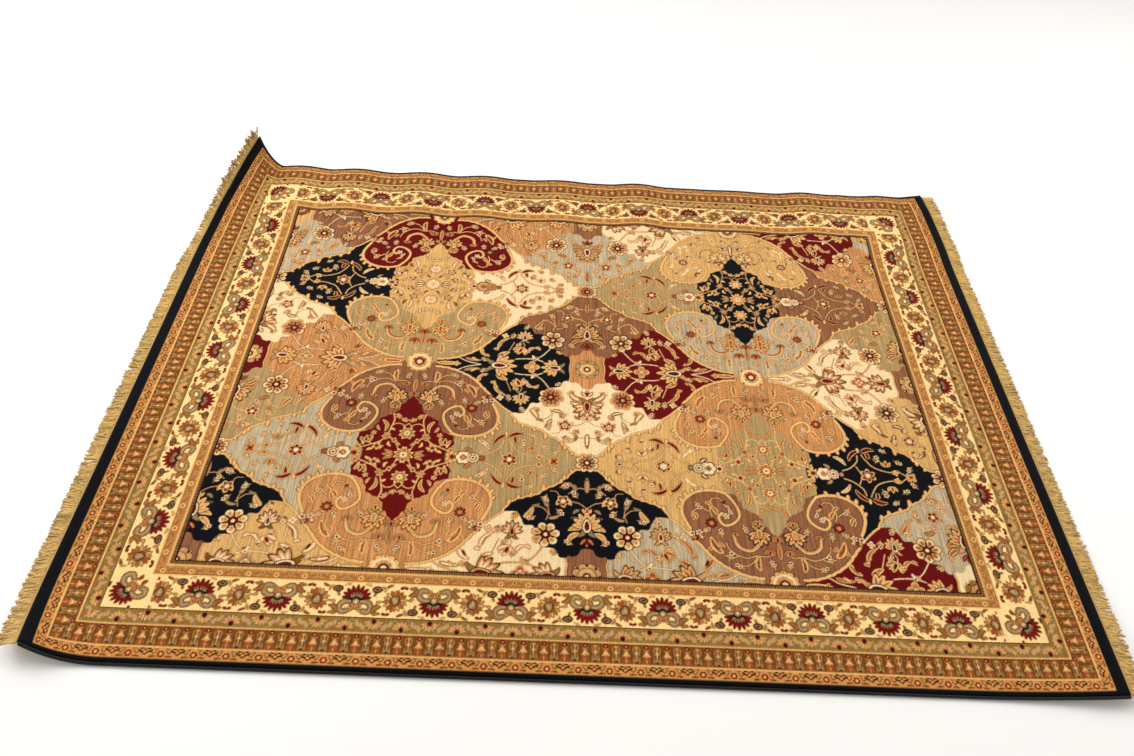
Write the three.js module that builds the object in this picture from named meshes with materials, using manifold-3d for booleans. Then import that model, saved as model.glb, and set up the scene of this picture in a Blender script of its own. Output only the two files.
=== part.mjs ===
import * as THREE from 'three';
import { mergeGeometries, mergeVertices } from 'three/addons/utils/BufferGeometryUtils.js';
import Module from 'manifold-3d';

// A pile rug lying on a floor, in millimetres, with +Z up and the floor at Z = 0.
// X runs along the rug's length, from one fringed end to the other, and Y across its width.
// Flat sizes use u along the length, v across the width and w up from the underside.

const WOVEN_HALF_LENGTH = 1060;
const WOVEN_HALF_WIDTH = 786;
const RUG_THICKNESS = 10;
const RUG_EDGE_THICKNESS = 8.4;
const SEAM_GAP = 0.4;

const BINDING_WIDTH = 7.2;
const BINDING_HEIGHT = 8.4;
const BINDING_SIDES = 8;
const EDGE_HALF_WIDTH = WOVEN_HALF_WIDTH + SEAM_GAP + BINDING_WIDTH;

const TAPE_WIDTH = 9;
const TAPE_THICKNESS = 3;
const STRANDS_PER_END = 120;
const STRAND_LENGTH = 27;
const STRAND_LENGTH_SPREAD = 3;
// The raised back corner has pushed the fringe beside it back into a ruffle.
const RUFFLE = { endSide: -1, from: 330, share: 0.72 };
const STRAND_WIDTH = 6;
const STRAND_THICKNESS = 1.8;
const STRAND_TIP_SHARE = 0.72;
const STRAND_ROOT_DEPTH = 4;
const STRAND_ROOT_HEIGHT = 0.6;
const STRAND_SWAY = 2.4;

const LENGTH_SEGMENTS = 52;
const WIDTH_SEGMENTS = 32;
const TAPE_SEGMENTS = 60;
const EVEN_SHARE = 0.55;

// Corners that have risen off the floor. Reaches run inwards from the corner along each edge,
// draws are how far the corner has moved in over the floor, and fringe is how much of the
// corner's slope the loose fringe keeps.
const CORNERS = [
  { name: 'front_left', endSide: -1, edgeSide: -1, reachU: 169, reachV: 190, power: 2.05,
    lift: 46, drawU: 28, drawV: 13, fringe: -0.3 },
  { name: 'back_left', endSide: -1, edgeSide: 1, reachU: 147, reachV: 408, power: 1.4,
    lift: 100, drawU: 82, drawV: -15, fringe: 1.2 },
  { name: 'front_right', endSide: 1, edgeSide: -1, reachU: 331, reachV: 490, power: 2,
    lift: 23, drawU: 18, drawV: 2, fringe: 0.2 },
  { name: 'back_right', endSide: 1, edgeSide: 1, reachU: 242, reachV: 265, power: 2,
    lift: 20, drawU: 18, drawV: -5, fringe: 0.5 },
];

// The back border stands a little off the floor as far as its edge, and waves along its length.
const BACK_DRAW = { from: 740, amount: 4 };
const BACK_RISE = { height: 5, from: 450, full: 572, fallFrom: 700, fallEnd: 793 };
const BACK_WAVE = { from: 470, full: 580, halfWidth: 90 };
const BACK_CRESTS = [
  { at: -855, rise: 8 },
  { at: -685, rise: 8 },
  { at: -485, rise: 8 },
  { at: -300, rise: 7 },
  { at: -70, rise: 5.5 },
  { at: 165, rise: 8.5 },
  { at: 465, rise: 2 },
  { at: 680, rise: 9.5 },
  { at: 790, rise: 7 },
  { at: 900, rise: 9 },
];

const COLOURS = { rug: 0xa9845a, binding: 0x16222a, fringe: 0xc2a877 };

function bell(t) {
  const rest = Math.max(0, 1 - t * t);
  return rest * rest;
}

// From 0 at the first place to 1 at the second, level at both.
function easeBetween(place, from, to) {
  const part = Math.min(1, Math.max(0, (place - from) / (to - from)));
  return part * part * (3 - 2 * part);
}

// How strongly a corner's rise acts at a flat point: 0 outside its reach, 1 at the corner.
function cornerShare(corner, u, v) {
  const alongU = 1 - (WOVEN_HALF_LENGTH - u * corner.endSide) / corner.reachU;
  const alongV = 1 - (EDGE_HALF_WIDTH - v * corner.edgeSide) / corner.reachV;
  if (alongU <= 0 || alongV <= 0) {
    return 0;
  }
  const beyond = Math.max(0, alongU - 1);
  const inside = Math.pow(Math.min(1, alongU), corner.power);
  return (inside + corner.fringe * corner.power * beyond) * Math.pow(alongV, corner.power);
}

// Where a point of the flat underside lies in the settled rug.
function lay(u, v) {
  const spot = new THREE.Vector3(u, v, 0);
  spot.y -= BACK_DRAW.amount * easeBetween(v, BACK_DRAW.from, EDGE_HALF_WIDTH);
  const risen = easeBetween(v, BACK_RISE.from, BACK_RISE.full);
  const fallen = easeBetween(v, BACK_RISE.fallFrom, BACK_RISE.fallEnd);
  spot.z += BACK_RISE.height * risen * (1 - fallen);
  const waved = easeBetween(v, BACK_WAVE.from, BACK_WAVE.full);
  for (const crest of BACK_CRESTS) {
    spot.z += crest.rise * waved * bell((u - crest.at) / BACK_WAVE.halfWidth);
  }
  for (const corner of CORNERS) {
    const share = cornerShare(corner, u, v);
    spot.x -= corner.endSide * corner.drawU * share;
    spot.y -= corner.edgeSide * corner.drawV * share;
    spot.z += corner.lift * share;
  }
  return spot;
}

// The same with a height w, square to the underside.
function settle(u, v, w) {
  const step = 0.5;
  const along = lay(u + step, v).sub(lay(u - step, v));
  const across = lay(u, v + step).sub(lay(u, v - step));
  const up = along.cross(across).normalize();
  return lay(u, v).addScaledVector(up, w);
}

// Grid lines drawn together towards both ends, where the corners bend.
function spread(s) {
  return EVEN_SHARE * s + (1 - EVEN_SHARE) * Math.sin((s * Math.PI) / 2);
}

function signedVolume(geometry) {
  const place = geometry.getAttribute('position');
  const index = geometry.getIndex();
  const a = new THREE.Vector3();
  const b = new THREE.Vector3();
  const c = new THREE.Vector3();
  let sum = 0;
  for (let i = 0; i < index.count; i += 3) {
    a.fromBufferAttribute(place, index.getX(i));
    b.fromBufferAttribute(place, index.getX(i + 1));
    c.fromBufferAttribute(place, index.getX(i + 2));
    sum += a.dot(b.cross(c)) / 6;
  }
  return sum;
}

function facingOut(geometry) {
  const index = geometry.getIndex();
  if (signedVolume(geometry) < 0) {
    for (let i = 0; i < index.count; i += 3) {
      const first = index.getX(i);
      index.setX(i, index.getX(i + 1));
      index.setX(i + 1, first);
    }
  }
  return geometry;
}

// Moves every vertex of a plain block or rod: place(x, y, z) gives its flat u, v and w.
function settled(geometry, place) {
  geometry.deleteAttribute('normal');
  geometry.deleteAttribute('uv');
  const merged = mergeVertices(geometry, 1e-5);
  const spots = merged.getAttribute('position');
  for (let i = 0; i < spots.count; i += 1) {
    const [u, v, w] = place(spots.getX(i), spots.getY(i), spots.getZ(i));
    const spot = settle(u, v, w);
    spots.setXYZ(i, spot.x, spot.y, spot.z);
  }
  return facingOut(merged);
}

// The woven body: knotted pile on its own backing, thinner where the pile rolls over its edge.
function wovenBody() {
  const block = new THREE.BoxGeometry(2, 2, 1, LENGTH_SEGMENTS, WIDTH_SEGMENTS, 1);
  return settled(block, (x, y, z) => {
    const atRim = Math.max(Math.abs(x), Math.abs(y)) > 0.9999;
    const top = atRim ? RUG_EDGE_THICKNESS : RUG_THICKNESS;
    return [WOVEN_HALF_LENGTH * spread(x), WOVEN_HALF_WIDTH * spread(y), z > 0 ? top : 0];
  });
}

// An overcast long edge: a wrapped rod with a flat underside, along the whole side.
function sideBinding(edgeSide) {
  const rod = new THREE.CylinderGeometry(1, 1, 2, BINDING_SIDES, LENGTH_SEGMENTS);
  rod.rotateY(Math.PI / BINDING_SIDES);
  const flat = 1 / Math.cos(Math.PI / BINDING_SIDES);
  const middle = WOVEN_HALF_WIDTH + SEAM_GAP + BINDING_WIDTH / 2;
  return settled(rod, (x, y, z) => [
    WOVEN_HALF_LENGTH * spread(y),
    edgeSide * (middle + (flat * x * BINDING_WIDTH) / 2),
    (BINDING_HEIGHT / 2) * (1 + flat * z),
  ]);
}

function fringeTape(endSide) {
  const block = new THREE.BoxGeometry(1, 2, 1, 1, TAPE_SEGMENTS, 1);
  const inner = WOVEN_HALF_LENGTH + SEAM_GAP;
  return settled(block, (x, y, z) => [
    endSide * (inner + (x + 0.5) * TAPE_WIDTH),
    WOVEN_HALF_WIDTH * spread(y),
    (z + 0.5) * TAPE_THICKNESS,
  ]);
}

// One loose strand: rooted in the tape, it drops to the floor and lies along it.
function fringeStrand(endSide, number) {
  const pitch = (2 * WOVEN_HALF_WIDTH) / STRANDS_PER_END;
  const middle = -WOVEN_HALF_WIDTH + (number + 0.5) * pitch;
  const outer = WOVEN_HALF_LENGTH + SEAM_GAP + TAPE_WIDTH;
  const ruffled = endSide === RUFFLE.endSide && middle > RUFFLE.from;
  const usual = STRAND_LENGTH * (ruffled ? RUFFLE.share : 1);
  const length = usual + STRAND_LENGTH_SPREAD * Math.sin(2.4 * number + endSide);
  const sway = STRAND_SWAY * Math.sin(1.7 * number - endSide);
  const block = new THREE.BoxGeometry(2, 1, 1, 2, 1, 1);
  return settled(block, (x, y, z) => {
    const atRoot = x < -0.5;
    const atTip = x > 0.5;
    const reach = atRoot ? -STRAND_ROOT_DEPTH : atTip ? length : length * 0.3;
    const width = STRAND_WIDTH * (atTip ? STRAND_TIP_SHARE : 1);
    const low = atRoot ? STRAND_ROOT_HEIGHT : 0;
    const side = atTip ? sway : 0;
    return [endSide * (outer + reach), middle + side + y * width, low + (z + 0.5) * STRAND_THICKNESS];
  });
}

const wasm = await Module();
wasm.setup();

function toSolid(geometry) {
  const merged = mergeVertices(geometry, 1e-5);
  return new wasm.Manifold(
    new wasm.Mesh({
      numProp: 3,
      vertProperties: new Float32Array(merged.getAttribute('position').array),
      triVerts: new Uint32Array(merged.getIndex().array),
    }),
  );
}

function fromSolid(solid) {
  const mesh = solid.getMesh();
  const geometry = new THREE.BufferGeometry();
  geometry.setAttribute('position', new THREE.BufferAttribute(mesh.vertProperties, 3));
  geometry.setIndex(new THREE.BufferAttribute(mesh.triVerts, 1));
  return geometry;
}

function fringe(endSide) {
  const strands = [];
  for (let number = 0; number < STRANDS_PER_END; number += 1) {
    strands.push(fringeStrand(endSide, number));
  }
  const loose = toSolid(mergeGeometries(strands));
  return fromSolid(toSolid(fringeTape(endSide)).add(loose));
}

function piece(name, geometry, colour, roughness) {
  geometry.computeVertexNormals();
  const material = new THREE.MeshStandardMaterial({ color: colour, roughness, metalness: 0 });
  const mesh = new THREE.Mesh(geometry, material);
  mesh.name = name;
  return mesh;
}

const group = new THREE.Group();
group.name = 'pile_rug';
group.add(piece('rug', wovenBody(), COLOURS.rug, 0.95));
group.add(piece('binding_front', sideBinding(-1), COLOURS.binding, 0.9));
group.add(piece('binding_back', sideBinding(1), COLOURS.binding, 0.9));
group.add(piece('fringe_left', fringe(-1), COLOURS.fringe, 0.9));
group.add(piece('fringe_right', fringe(1), COLOURS.fringe, 0.9));

export default group;
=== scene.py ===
"""A Persian-style pile rug lying on a pale floor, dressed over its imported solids."""

import math

import bpy
import numpy as np
from bpy.props import FloatProperty, FloatVectorProperty, IntProperty, PointerProperty
from mathutils import Matrix, Vector


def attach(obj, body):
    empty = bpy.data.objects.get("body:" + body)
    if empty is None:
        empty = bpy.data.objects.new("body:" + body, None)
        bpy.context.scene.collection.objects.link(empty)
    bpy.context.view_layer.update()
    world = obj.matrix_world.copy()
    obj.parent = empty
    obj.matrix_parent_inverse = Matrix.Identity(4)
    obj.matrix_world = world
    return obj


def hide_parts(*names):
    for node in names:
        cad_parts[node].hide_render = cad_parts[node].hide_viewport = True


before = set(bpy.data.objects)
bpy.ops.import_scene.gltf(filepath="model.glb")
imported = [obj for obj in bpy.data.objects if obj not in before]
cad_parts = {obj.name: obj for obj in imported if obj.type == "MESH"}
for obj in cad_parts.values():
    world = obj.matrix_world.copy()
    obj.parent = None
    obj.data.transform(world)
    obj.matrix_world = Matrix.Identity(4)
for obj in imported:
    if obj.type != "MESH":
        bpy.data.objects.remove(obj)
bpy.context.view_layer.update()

bl_info = {
    "name": "Pile Rug",
    "version": (1, 0, 0),
    "blender": (4, 5, 0),
    "location": "View3D > Sidebar > Rug",
    "description": "Pile rug with a panelled flower pattern, overcast sides and fringed ends",
    "category": "Object",
}

MM = 0.001

# How the rug lies: u along the length, v across the width, w up from the underside, in millimetres.

WOVEN_HALF_LENGTH = 1060.0
WOVEN_HALF_WIDTH = 786.0
RUG_EDGE_THICKNESS = 8.4
SEAM_GAP = 0.4
BINDING_WIDTH = 7.2
BINDING_HEIGHT = 8.4
EDGE_HALF_WIDTH = WOVEN_HALF_WIDTH + SEAM_GAP + BINDING_WIDTH
TAPE_WIDTH = 9.0
TAPE_THICKNESS = 3.0
SLOPE_STEP = 0.5

CORNERS = (
    # end side, edge side, reach u, reach v, power, lift, draw u, draw v, fringe share
    (-1, -1, 169, 190, 2.05, 46, 28, 13, -0.3),
    (-1, 1, 147, 408, 1.4, 100, 82, -15, 1.2),
    (1, -1, 331, 490, 2.0, 23, 18, 2, 0.2),
    (1, 1, 242, 265, 2.0, 20, 18, -5, 0.5),
)
BACK_DRAW_FROM, BACK_DRAW = 740.0, 4.0
BACK_RISE, BACK_RISE_FROM, BACK_RISE_FULL = 5.0, 450.0, 572.0
BACK_FALL_FROM, BACK_FALL_END = 700.0, 793.0
CREST_FROM, CREST_FULL, CREST_HALF_WIDTH = 470.0, 580.0, 90.0
CRESTS = (
    # place along the back border, rise
    (-855, 8),
    (-685, 8),
    (-485, 8),
    (-300, 7),
    (-70, 5.5),
    (165, 8.5),
    (465, 2),
    (680, 9.5),
    (790, 7),
    (900, 9),
)


def bell(t):
    return np.maximum(0.0, 1.0 - t * t) ** 2


def ease(t):
    part = np.clip(t, 0.0, 1.0)
    return part * part * (3.0 - 2.0 * part)


def lay(u, v):
    """Where points of the flat underside lie in the settled rug."""
    x, y = u.astype(float), v.astype(float)
    z = np.zeros_like(x)
    y = y - BACK_DRAW * ease((v - BACK_DRAW_FROM) / (EDGE_HALF_WIDTH - BACK_DRAW_FROM))
    risen = ease((v - BACK_RISE_FROM) / (BACK_RISE_FULL - BACK_RISE_FROM))
    fallen = ease((v - BACK_FALL_FROM) / (BACK_FALL_END - BACK_FALL_FROM))
    z = z + BACK_RISE * risen * (1.0 - fallen)
    waved = ease((v - CREST_FROM) / (CREST_FULL - CREST_FROM))
    for at, rise in CRESTS:
        z = z + rise * waved * bell((u - at) / CREST_HALF_WIDTH)
    for end, edge, reach_u, reach_v, power, lift, draw_u, draw_v, fringe in CORNERS:
        along_u = np.maximum(0.0, 1.0 - (WOVEN_HALF_LENGTH - u * end) / reach_u)
        along_v = np.maximum(0.0, 1.0 - (EDGE_HALF_WIDTH - v * edge) / reach_v)
        inside = np.minimum(1.0, along_u) ** power
        beyond = fringe * power * np.maximum(0.0, along_u - 1.0)
        share = (inside + beyond) * along_v**power
        x = x - end * draw_u * share
        y = y - edge * draw_v * share
        z = z + lift * share
    return np.stack([x, y, z], -1)


def up_from(u, v):
    """The direction square to the settled underside."""
    along = lay(u + SLOPE_STEP, v) - lay(u - SLOPE_STEP, v)
    across = lay(u, v + SLOPE_STEP) - lay(u, v - SLOPE_STEP)
    up = np.cross(along, across)
    return up / np.linalg.norm(up, axis=-1, keepdims=True)


def settle(u, v, w):
    """Settled places, in metres, of points at height w over the flat underside."""
    u, v, w = np.broadcast_arrays(np.asarray(u, float), np.asarray(v, float), np.asarray(w, float))
    return (lay(u, v) + w[..., None] * up_from(u, v)) * MM


# Sizes and colours that a user would change.


def length(name, about, default):
    return FloatProperty(name=name, description=about, default=default, min=0.0, unit="LENGTH")


def count_of(name, about, default, low):
    return IntProperty(name=name, description=about, default=default, min=low)


def dye(name, about, red, green, blue):
    return FloatVectorProperty(
        name=name, description=about, default=(red, green, blue), size=3, min=0.0, max=1.0,
        subtype="COLOR_GAMMA",
    )


class RugSizes(bpy.types.PropertyGroup):
    """Sizes of the pile, its edges and its fringes."""

    pile_height: length("Pile height", "Height of the pile over the floor", 0.0097)
    cells_along: count_of("Cells along", "Mesh cells along the length", 740, 20)
    cells_across: count_of("Cells across", "Mesh cells across one strip", 108, 4)
    strips: count_of("Strips", "Strips that the pile mesh is made in", 5, 1)
    tuft_spread: length("Tuft spread", "How unevenly the tufts are cut", 0.00016)
    stitches: count_of("Stitches", "Overcast stitches along one side", 640, 10)
    stitch_thickness: length("Stitch thickness", "Half the thickness of the overcast yarn", 0.0008)
    strands: count_of("Strands", "Fringe strands along one end", 1250, 10)
    strand_length: length("Strand length", "Usual length of a fringe strand", 0.0275)
    strand_radius: length("Strand radius", "Half the thickness of a strand at its root", 0.0019)
    strand_sway: length("Strand sway", "How far strand tips stray", 0.012)


class RugDyes(bpy.types.PropertyGroup):
    """Colours of the dyed yarns."""

    navy: dye("Navy", "Deep blue ground and edge", 0.035, 0.038, 0.055)
    red: dye("Red", "Deep red ground", 0.37, 0.02, 0.025)
    cream: dye("Cream", "Pale ground", 0.895, 0.785, 0.605)
    straw: dye("Straw", "Pale ground of the border", 0.94, 0.80, 0.54)
    gold: dye("Gold", "Yellow ground", 0.79, 0.615, 0.37)
    orange: dye("Orange", "Soft orange ground", 0.73, 0.50, 0.30)
    sage: dye("Sage", "Grey-green ground", 0.645, 0.53, 0.35)
    bluegrey: dye("Blue grey", "Blue-grey ground", 0.69, 0.615, 0.49)
    mauve: dye("Mauve", "Brown-mauve ground", 0.525, 0.335, 0.22)
    ochre: dye("Ochre", "Soft brown leaves", 0.57, 0.39, 0.20)
    ginger: dye("Ginger", "Guard band ground", 0.655, 0.435, 0.205)
    honey: dye("Honey", "Outer band ground", 0.765, 0.54, 0.285)
    olive: dye("Olive", "Olive band and stems", 0.53, 0.395, 0.175)
    moss: dye("Moss", "Darker olive", 0.40, 0.25, 0.09)
    tan: dye("Tan", "Light brown petals", 0.75, 0.555, 0.345)
    rust: dye("Rust", "Orange-red petals", 0.60, 0.29, 0.13)
    brown: dye("Brown", "Figure band ground", 0.49, 0.28, 0.09)
    umber: dye("Umber", "Dark outlines", 0.225, 0.115, 0.05)
    black: dye("Black", "Darkest outlines", 0.10, 0.065, 0.045)
    line: dye("Light line", "Light dividing lines", 0.86, 0.67, 0.41)
    maroon: dye("Maroon", "Dark red petals and hearts", 0.41, 0.05, 0.04)
    grey: dye("Grey", "Grey leaves", 0.53, 0.445, 0.305)
    binding: dye("Binding", "Overcast yarn", 0.07, 0.09, 0.09)
    fringe: dye("Fringe", "Fringe strands", 0.755, 0.62, 0.365)
    backing: dye("Backing", "Woven underside", 0.62, 0.52, 0.37)
    floor: dye("Floor", "Pale floor", 0.93, 0.93, 0.93)


DYES = (
    "navy", "red", "cream", "straw", "gold", "orange", "sage", "bluegrey", "mauve", "ochre", "ginger",
    "honey", "olive", "moss", "tan", "rust", "brown", "umber", "black", "line", "maroon", "grey",
)
NO = {name: number for number, name in enumerate(DYES)}
# How strongly each dye shows the streaks of uneven yarn that run across the width.
STREAKS = {
    "orange": 1.0, "mauve": 1.0, "bluegrey": 0.9, "sage": 0.8, "gold": 0.7, "olive": 0.6, "brown": 0.5,
    "tan": 0.5, "ochre": 0.5,
}
PLAIN_STREAK = 0.3


def linear(colour):
    """A screen colour as the linear light that shaders work in."""
    c = np.asarray(colour, float)
    return np.where(c <= 0.04045, c / 12.92, ((c + 0.055) / 1.055) ** 2.4)


def shade(colour):
    return (*(float(c) for c in linear(colour)), 1.0)


# Drafting: flowers, leaves and stems drawn on a small grid, in millimetres.

GROUND, VINE, LEAF, PETAL, HEART, DARK, LIGHT, ACCENT, EDGE, CORE, RIM = range(11)
LEAF_RIM = 1.5
FAN_PETALS, FAN_SPREAD = 7, 1.45
SCHEMES = {
    # ground: vine, leaf, petal, heart, dark, light, accent, edge, core, rim
    "navy": ("tan", "grey", "line", "red", "navy", "cream", "orange", "line", "orange", "navy"),
    "red": ("line", "tan", "line", "umber", "red", "cream", "orange", "line", "ochre", "red"),
    "cream": ("olive", "olive", "orange", "maroon", "umber", "tan", "rust", "gold", "cream", "tan"),
    "gold": ("line", "brown", "tan", "maroon", "umber", "cream", "grey", "line", "cream", "ochre"),
    "orange": ("line", "sage", "line", "maroon", "brown", "cream", "sage", "line", "rust", "brown"),
    "sage": ("line", "tan", "line", "maroon", "umber", "cream", "rust", "line", "rust", "olive"),
    "bluegrey": ("line", "tan", "gold", "maroon", "umber", "cream", "rust", "line", "rust", "ochre"),
    "mauve": ("line", "tan", "gold", "maroon", "umber", "cream", "orange", "line", "rust", "umber"),
}


def through(points, step=1.5):
    """A rounded line through a few points."""
    p = np.asarray(points, float)
    q = np.vstack([2 * p[0] - p[1], p, 2 * p[-1] - p[-2]])
    runs = []
    for a, b, c, d in zip(q[:-3], q[1:-2], q[2:-1], q[3:]):
        count = max(2, int(np.hypot(*(c - b)) / step))
        t = np.linspace(0, 1, count, endpoint=False)[:, None]
        bend = (2 * a - 5 * b + 4 * c - d) * t**2 + (3 * b - a - 3 * c + d) * t**3
        runs.append(0.5 * (2 * b + (c - a) * t + bend))
    return np.vstack([*runs, p[-1:]])


def scalloped(path, count, depth):
    """The same line with round bumps to its left, or to its right where depth is negative."""
    run = np.gradient(path, axis=0)
    step = np.maximum(np.hypot(run[:, 0], run[:, 1]), 1e-9)
    far = np.cumsum(step)
    share = (far - far[0]) / (far[-1] - far[0])
    side = np.stack([-run[:, 1], run[:, 0]], 1) / step[:, None]
    return path + depth * np.abs(np.sin(np.pi * count * share))[:, None] * side


class Draft:
    """A drafted repeat: numbers of roles or dyes on a grid over a small piece of cloth."""

    def __init__(self, width, height, pitch, x0=0.0, y0=0.0, fill=0):
        self.pitch, self.x0, self.y0 = pitch, x0, y0
        self.nx, self.ny = round(width / pitch), round(height / pitch)
        self.mark = np.full((self.ny, self.nx), fill, np.uint8)
        self.zone = np.zeros((self.ny, self.nx), np.uint8)

    def cells(self, middle, reach, count):
        """The first and last cell within reach of a place along one side of the grid."""
        low = (middle - reach) / self.pitch
        high = (middle + reach) / self.pitch + 1
        return int(np.clip(low, 0, count)), int(np.clip(high, 0, count))

    def near(self, cx, cy, reach):
        """The part of the grid round a point, with places measured from that point."""
        i0, i1 = self.cells(cx - self.x0, reach, self.nx)
        j0, j1 = self.cells(cy - self.y0, reach, self.ny)
        x = self.x0 + (np.arange(i0, i1) + 0.5) * self.pitch - cx
        y = self.y0 + (np.arange(j0, j1) + 0.5) * self.pitch - cy
        return self.mark[j0:j1, i0:i1], *np.meshgrid(x, y)

    def read(self, x, y):
        """The marks at some places."""
        i = np.clip((x - self.x0) / self.pitch, 0, self.nx - 1).astype(int)
        j = np.clip((y - self.y0) / self.pitch, 0, self.ny - 1).astype(int)
        return self.mark[j, i]

    def disc(self, cx, cy, r, mark, tall=1.0):
        part, x, y = self.near(cx, cy, r * max(1.0, tall))
        part[x * x + (y / tall) ** 2 < r * r] = mark

    def ring(self, cx, cy, r, width, mark):
        part, x, y = self.near(cx, cy, r + width)
        part[np.abs(np.hypot(x, y) - r) < width / 2] = mark

    def star(self, cx, cy, r, count, turn, mark, waist=0.5, power=0.8):
        part, x, y = self.near(cx, cy, r)
        swing = np.abs(np.cos(count * (np.arctan2(y, x) - turn) / 2)) ** power
        part[np.hypot(x, y) < r * (waist + (1 - waist) * swing)] = mark

    def leaf(self, x0, y0, x1, y1, width, bend, mark, rim=None, core=None):
        dx, dy = x1 - x0, y1 - y0
        size = max(1e-6, math.hypot(dx, dy))
        part, x, y = self.near((x0 + x1) / 2, (y0 + y1) / 2, size / 2 + abs(bend) + width + 2)
        x, y = x + dx / 2, y + dy / 2
        t = (x * dx + y * dy) / size**2
        hump = np.clip(4 * t * (1 - t), 0, 1)
        off = np.abs((y * dx - x * dy) / size - bend * hump)
        half = width * np.sqrt(hump) * (1.15 - 0.4 * t)
        if rim is not None:
            part[(hump > 0) & (off < half + LEAF_RIM)] = rim
        part[off < half] = mark
        if core is not None:
            part[(off < 0.45 * half) & (hump > 0.35)] = core

    def stem(self, path, width, mark):
        for k in range(0, len(path) - 1, 6):
            run = path[k : k + 7]
            mid = (run.min(0) + run.max(0)) / 2
            part, x, y = self.near(*mid, np.ptp(run, axis=0).max() / 2 + width)
            gap = np.full(x.shape, 1e9)
            for a, b in zip(run[:-1] - mid, run[1:] - mid):
                e = b - a
                t = np.clip(((x - a[0]) * e[0] + (y - a[1]) * e[1]) / max(1e-9, e @ e), 0, 1)
                gap = np.minimum(gap, (x - a[0] - t * e[0]) ** 2 + (y - a[1] - t * e[1]) ** 2)
            part[gap < (width / 2) ** 2] = mark

    def rosette(self, cx, cy, r, count, turn):
        self.star(cx, cy, r, count, turn, RIM, 0.72, 0.6)
        self.star(cx, cy, r * 0.95, count, turn, LIGHT, 0.62, 0.6)
        self.star(cx, cy, r * 0.82, count, turn, PETAL, 0.62, 0.6)
        for k in range(count):
            a = turn + k * math.tau / count
            c, s = r * math.cos(a), r * math.sin(a)
            self.leaf(cx + 0.42 * c, cy + 0.42 * s, cx + 0.8 * c, cy + 0.8 * s, 0.11 * r, 0, ACCENT)
            a += 0.5 * math.tau / count
            c, s = r * math.cos(a), r * math.sin(a)
            self.leaf(cx + 0.28 * c, cy + 0.28 * s, cx + 0.74 * c, cy + 0.74 * s, 0.08 * r, 0, DARK)
        for share, mark in ((0.36, DARK), (0.27, HEART), (0.13, LIGHT)):
            self.disc(cx, cy, share * r, mark)

    def starflower(self, cx, cy, r, count):
        self.star(cx, cy, r, count, 0, PETAL, 0.6, 1.2)
        self.star(cx, cy, r * 0.78, count, 0, CORE, 0.6, 1.2)
        for share, mark in ((0.4, PETAL), (0.27, LIGHT), (0.12, HEART)):
            self.disc(cx, cy, share * r, mark)

    def floret(self, cx, cy, r, count, turn, petal, heart, rim=None):
        if rim is not None:
            self.star(cx, cy, r * 1.22, count, turn, rim)
        self.star(cx, cy, r, count, turn, petal, 0.42)
        self.star(cx, cy, r * 0.6, count, turn, CORE, 0.42)
        self.disc(cx, cy, r * 0.34, heart)

    def fan(self, cx, cy, angle, size, petal, rim):
        for grow, wide, mark in ((1.12, 0.21, rim), (1.0, 0.17, petal), (0.82, 0.065, CORE)):
            for k in np.linspace(-1, 1, FAN_PETALS):
                a = angle + k * FAN_SPREAD
                c, s = size * math.cos(a), size * math.sin(a)
                far = (1 - 0.22 * abs(k)) * grow
                self.leaf(cx - 0.1 * c, cy - 0.1 * s, cx + far * c, cy + far * s, size * wide, 0, mark)

    def palmette(self, cx, cy, angle, size, petal, rim, heart, core):
        c, s = size * math.cos(angle), size * math.sin(angle)
        self.fan(cx, cy, angle, size, petal, rim)
        for side in (-1, 1):
            self.leaf(cx - side * 0.16 * s, cy + side * 0.16 * c, cx - 0.62 * c - side * 0.5 * s,
                      cy - 0.62 * s + side * 0.5 * c, 0.13 * size, side * 0.16 * size, LEAF, rim)
        layers = ((0.42, 0.58, 0.27, rim), (0.36, 0.5, 0.22, core), (0.24, 0.38, 0.14, heart))
        for low, high, wide, mark in layers:
            self.leaf(cx - low * c, cy - low * s, cx + high * c, cy + high * s, wide * size, 0, mark)

    def bud(self, cx, cy, angle, size, petal, heart):
        c, s = size * math.cos(angle), size * math.sin(angle)
        for k in (-0.75, 0.75, 0):
            self.leaf(cx, cy, cx + size * math.cos(angle + k), cy + size * math.sin(angle + k), 0.24 * size,
                      0.1 * size * np.sign(k), petal, None, CORE)
        self.leaf(cx + 0.1 * c, cy + 0.1 * s, cx + 0.7 * c, cy + 0.7 * s, 0.15 * size, 0, heart)

    def outlined(self, reach, mark, ground=GROUND, bare=()):
        """Marks the ground close round the drawing, but not round the bare marks."""
        drawn = ~np.isin(self.mark, (ground, *bare))
        far = math.ceil(reach / self.pitch)
        padded, wide = np.pad(drawn, far), drawn.copy()
        for j in range(2 * far + 1):
            for i in range(2 * far + 1):
                if math.hypot(i - far, j - far) * self.pitch <= reach:
                    wide |= padded[j : j + self.ny, i : i + self.nx]
        self.mark[wide & (self.mark == ground)] = mark

    def fill(self, outline, zone):
        """Marks the inside of a closed outline as one compartment."""
        x = self.x0 + (np.arange(self.nx) + 0.5) * self.pitch
        y = self.y0 + (np.arange(self.ny) + 0.5) * self.pitch
        inside = np.zeros((self.ny, self.nx), bool)
        for a, b in zip(outline, np.roll(outline, -1, 0)):
            rows = np.nonzero((y >= min(a[1], b[1])) & (y < max(a[1], b[1])))[0]
            if len(rows):
                cross = a[0] + (y[rows] - a[1]) * (b[0] - a[0]) / (b[1] - a[1])
                inside[rows] ^= x[None, :] < cross[:, None]
        self.zone[inside] = zone


# The field: a quarter panel turned over and over; x and y run from a panel's middle to a medallion's.

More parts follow.
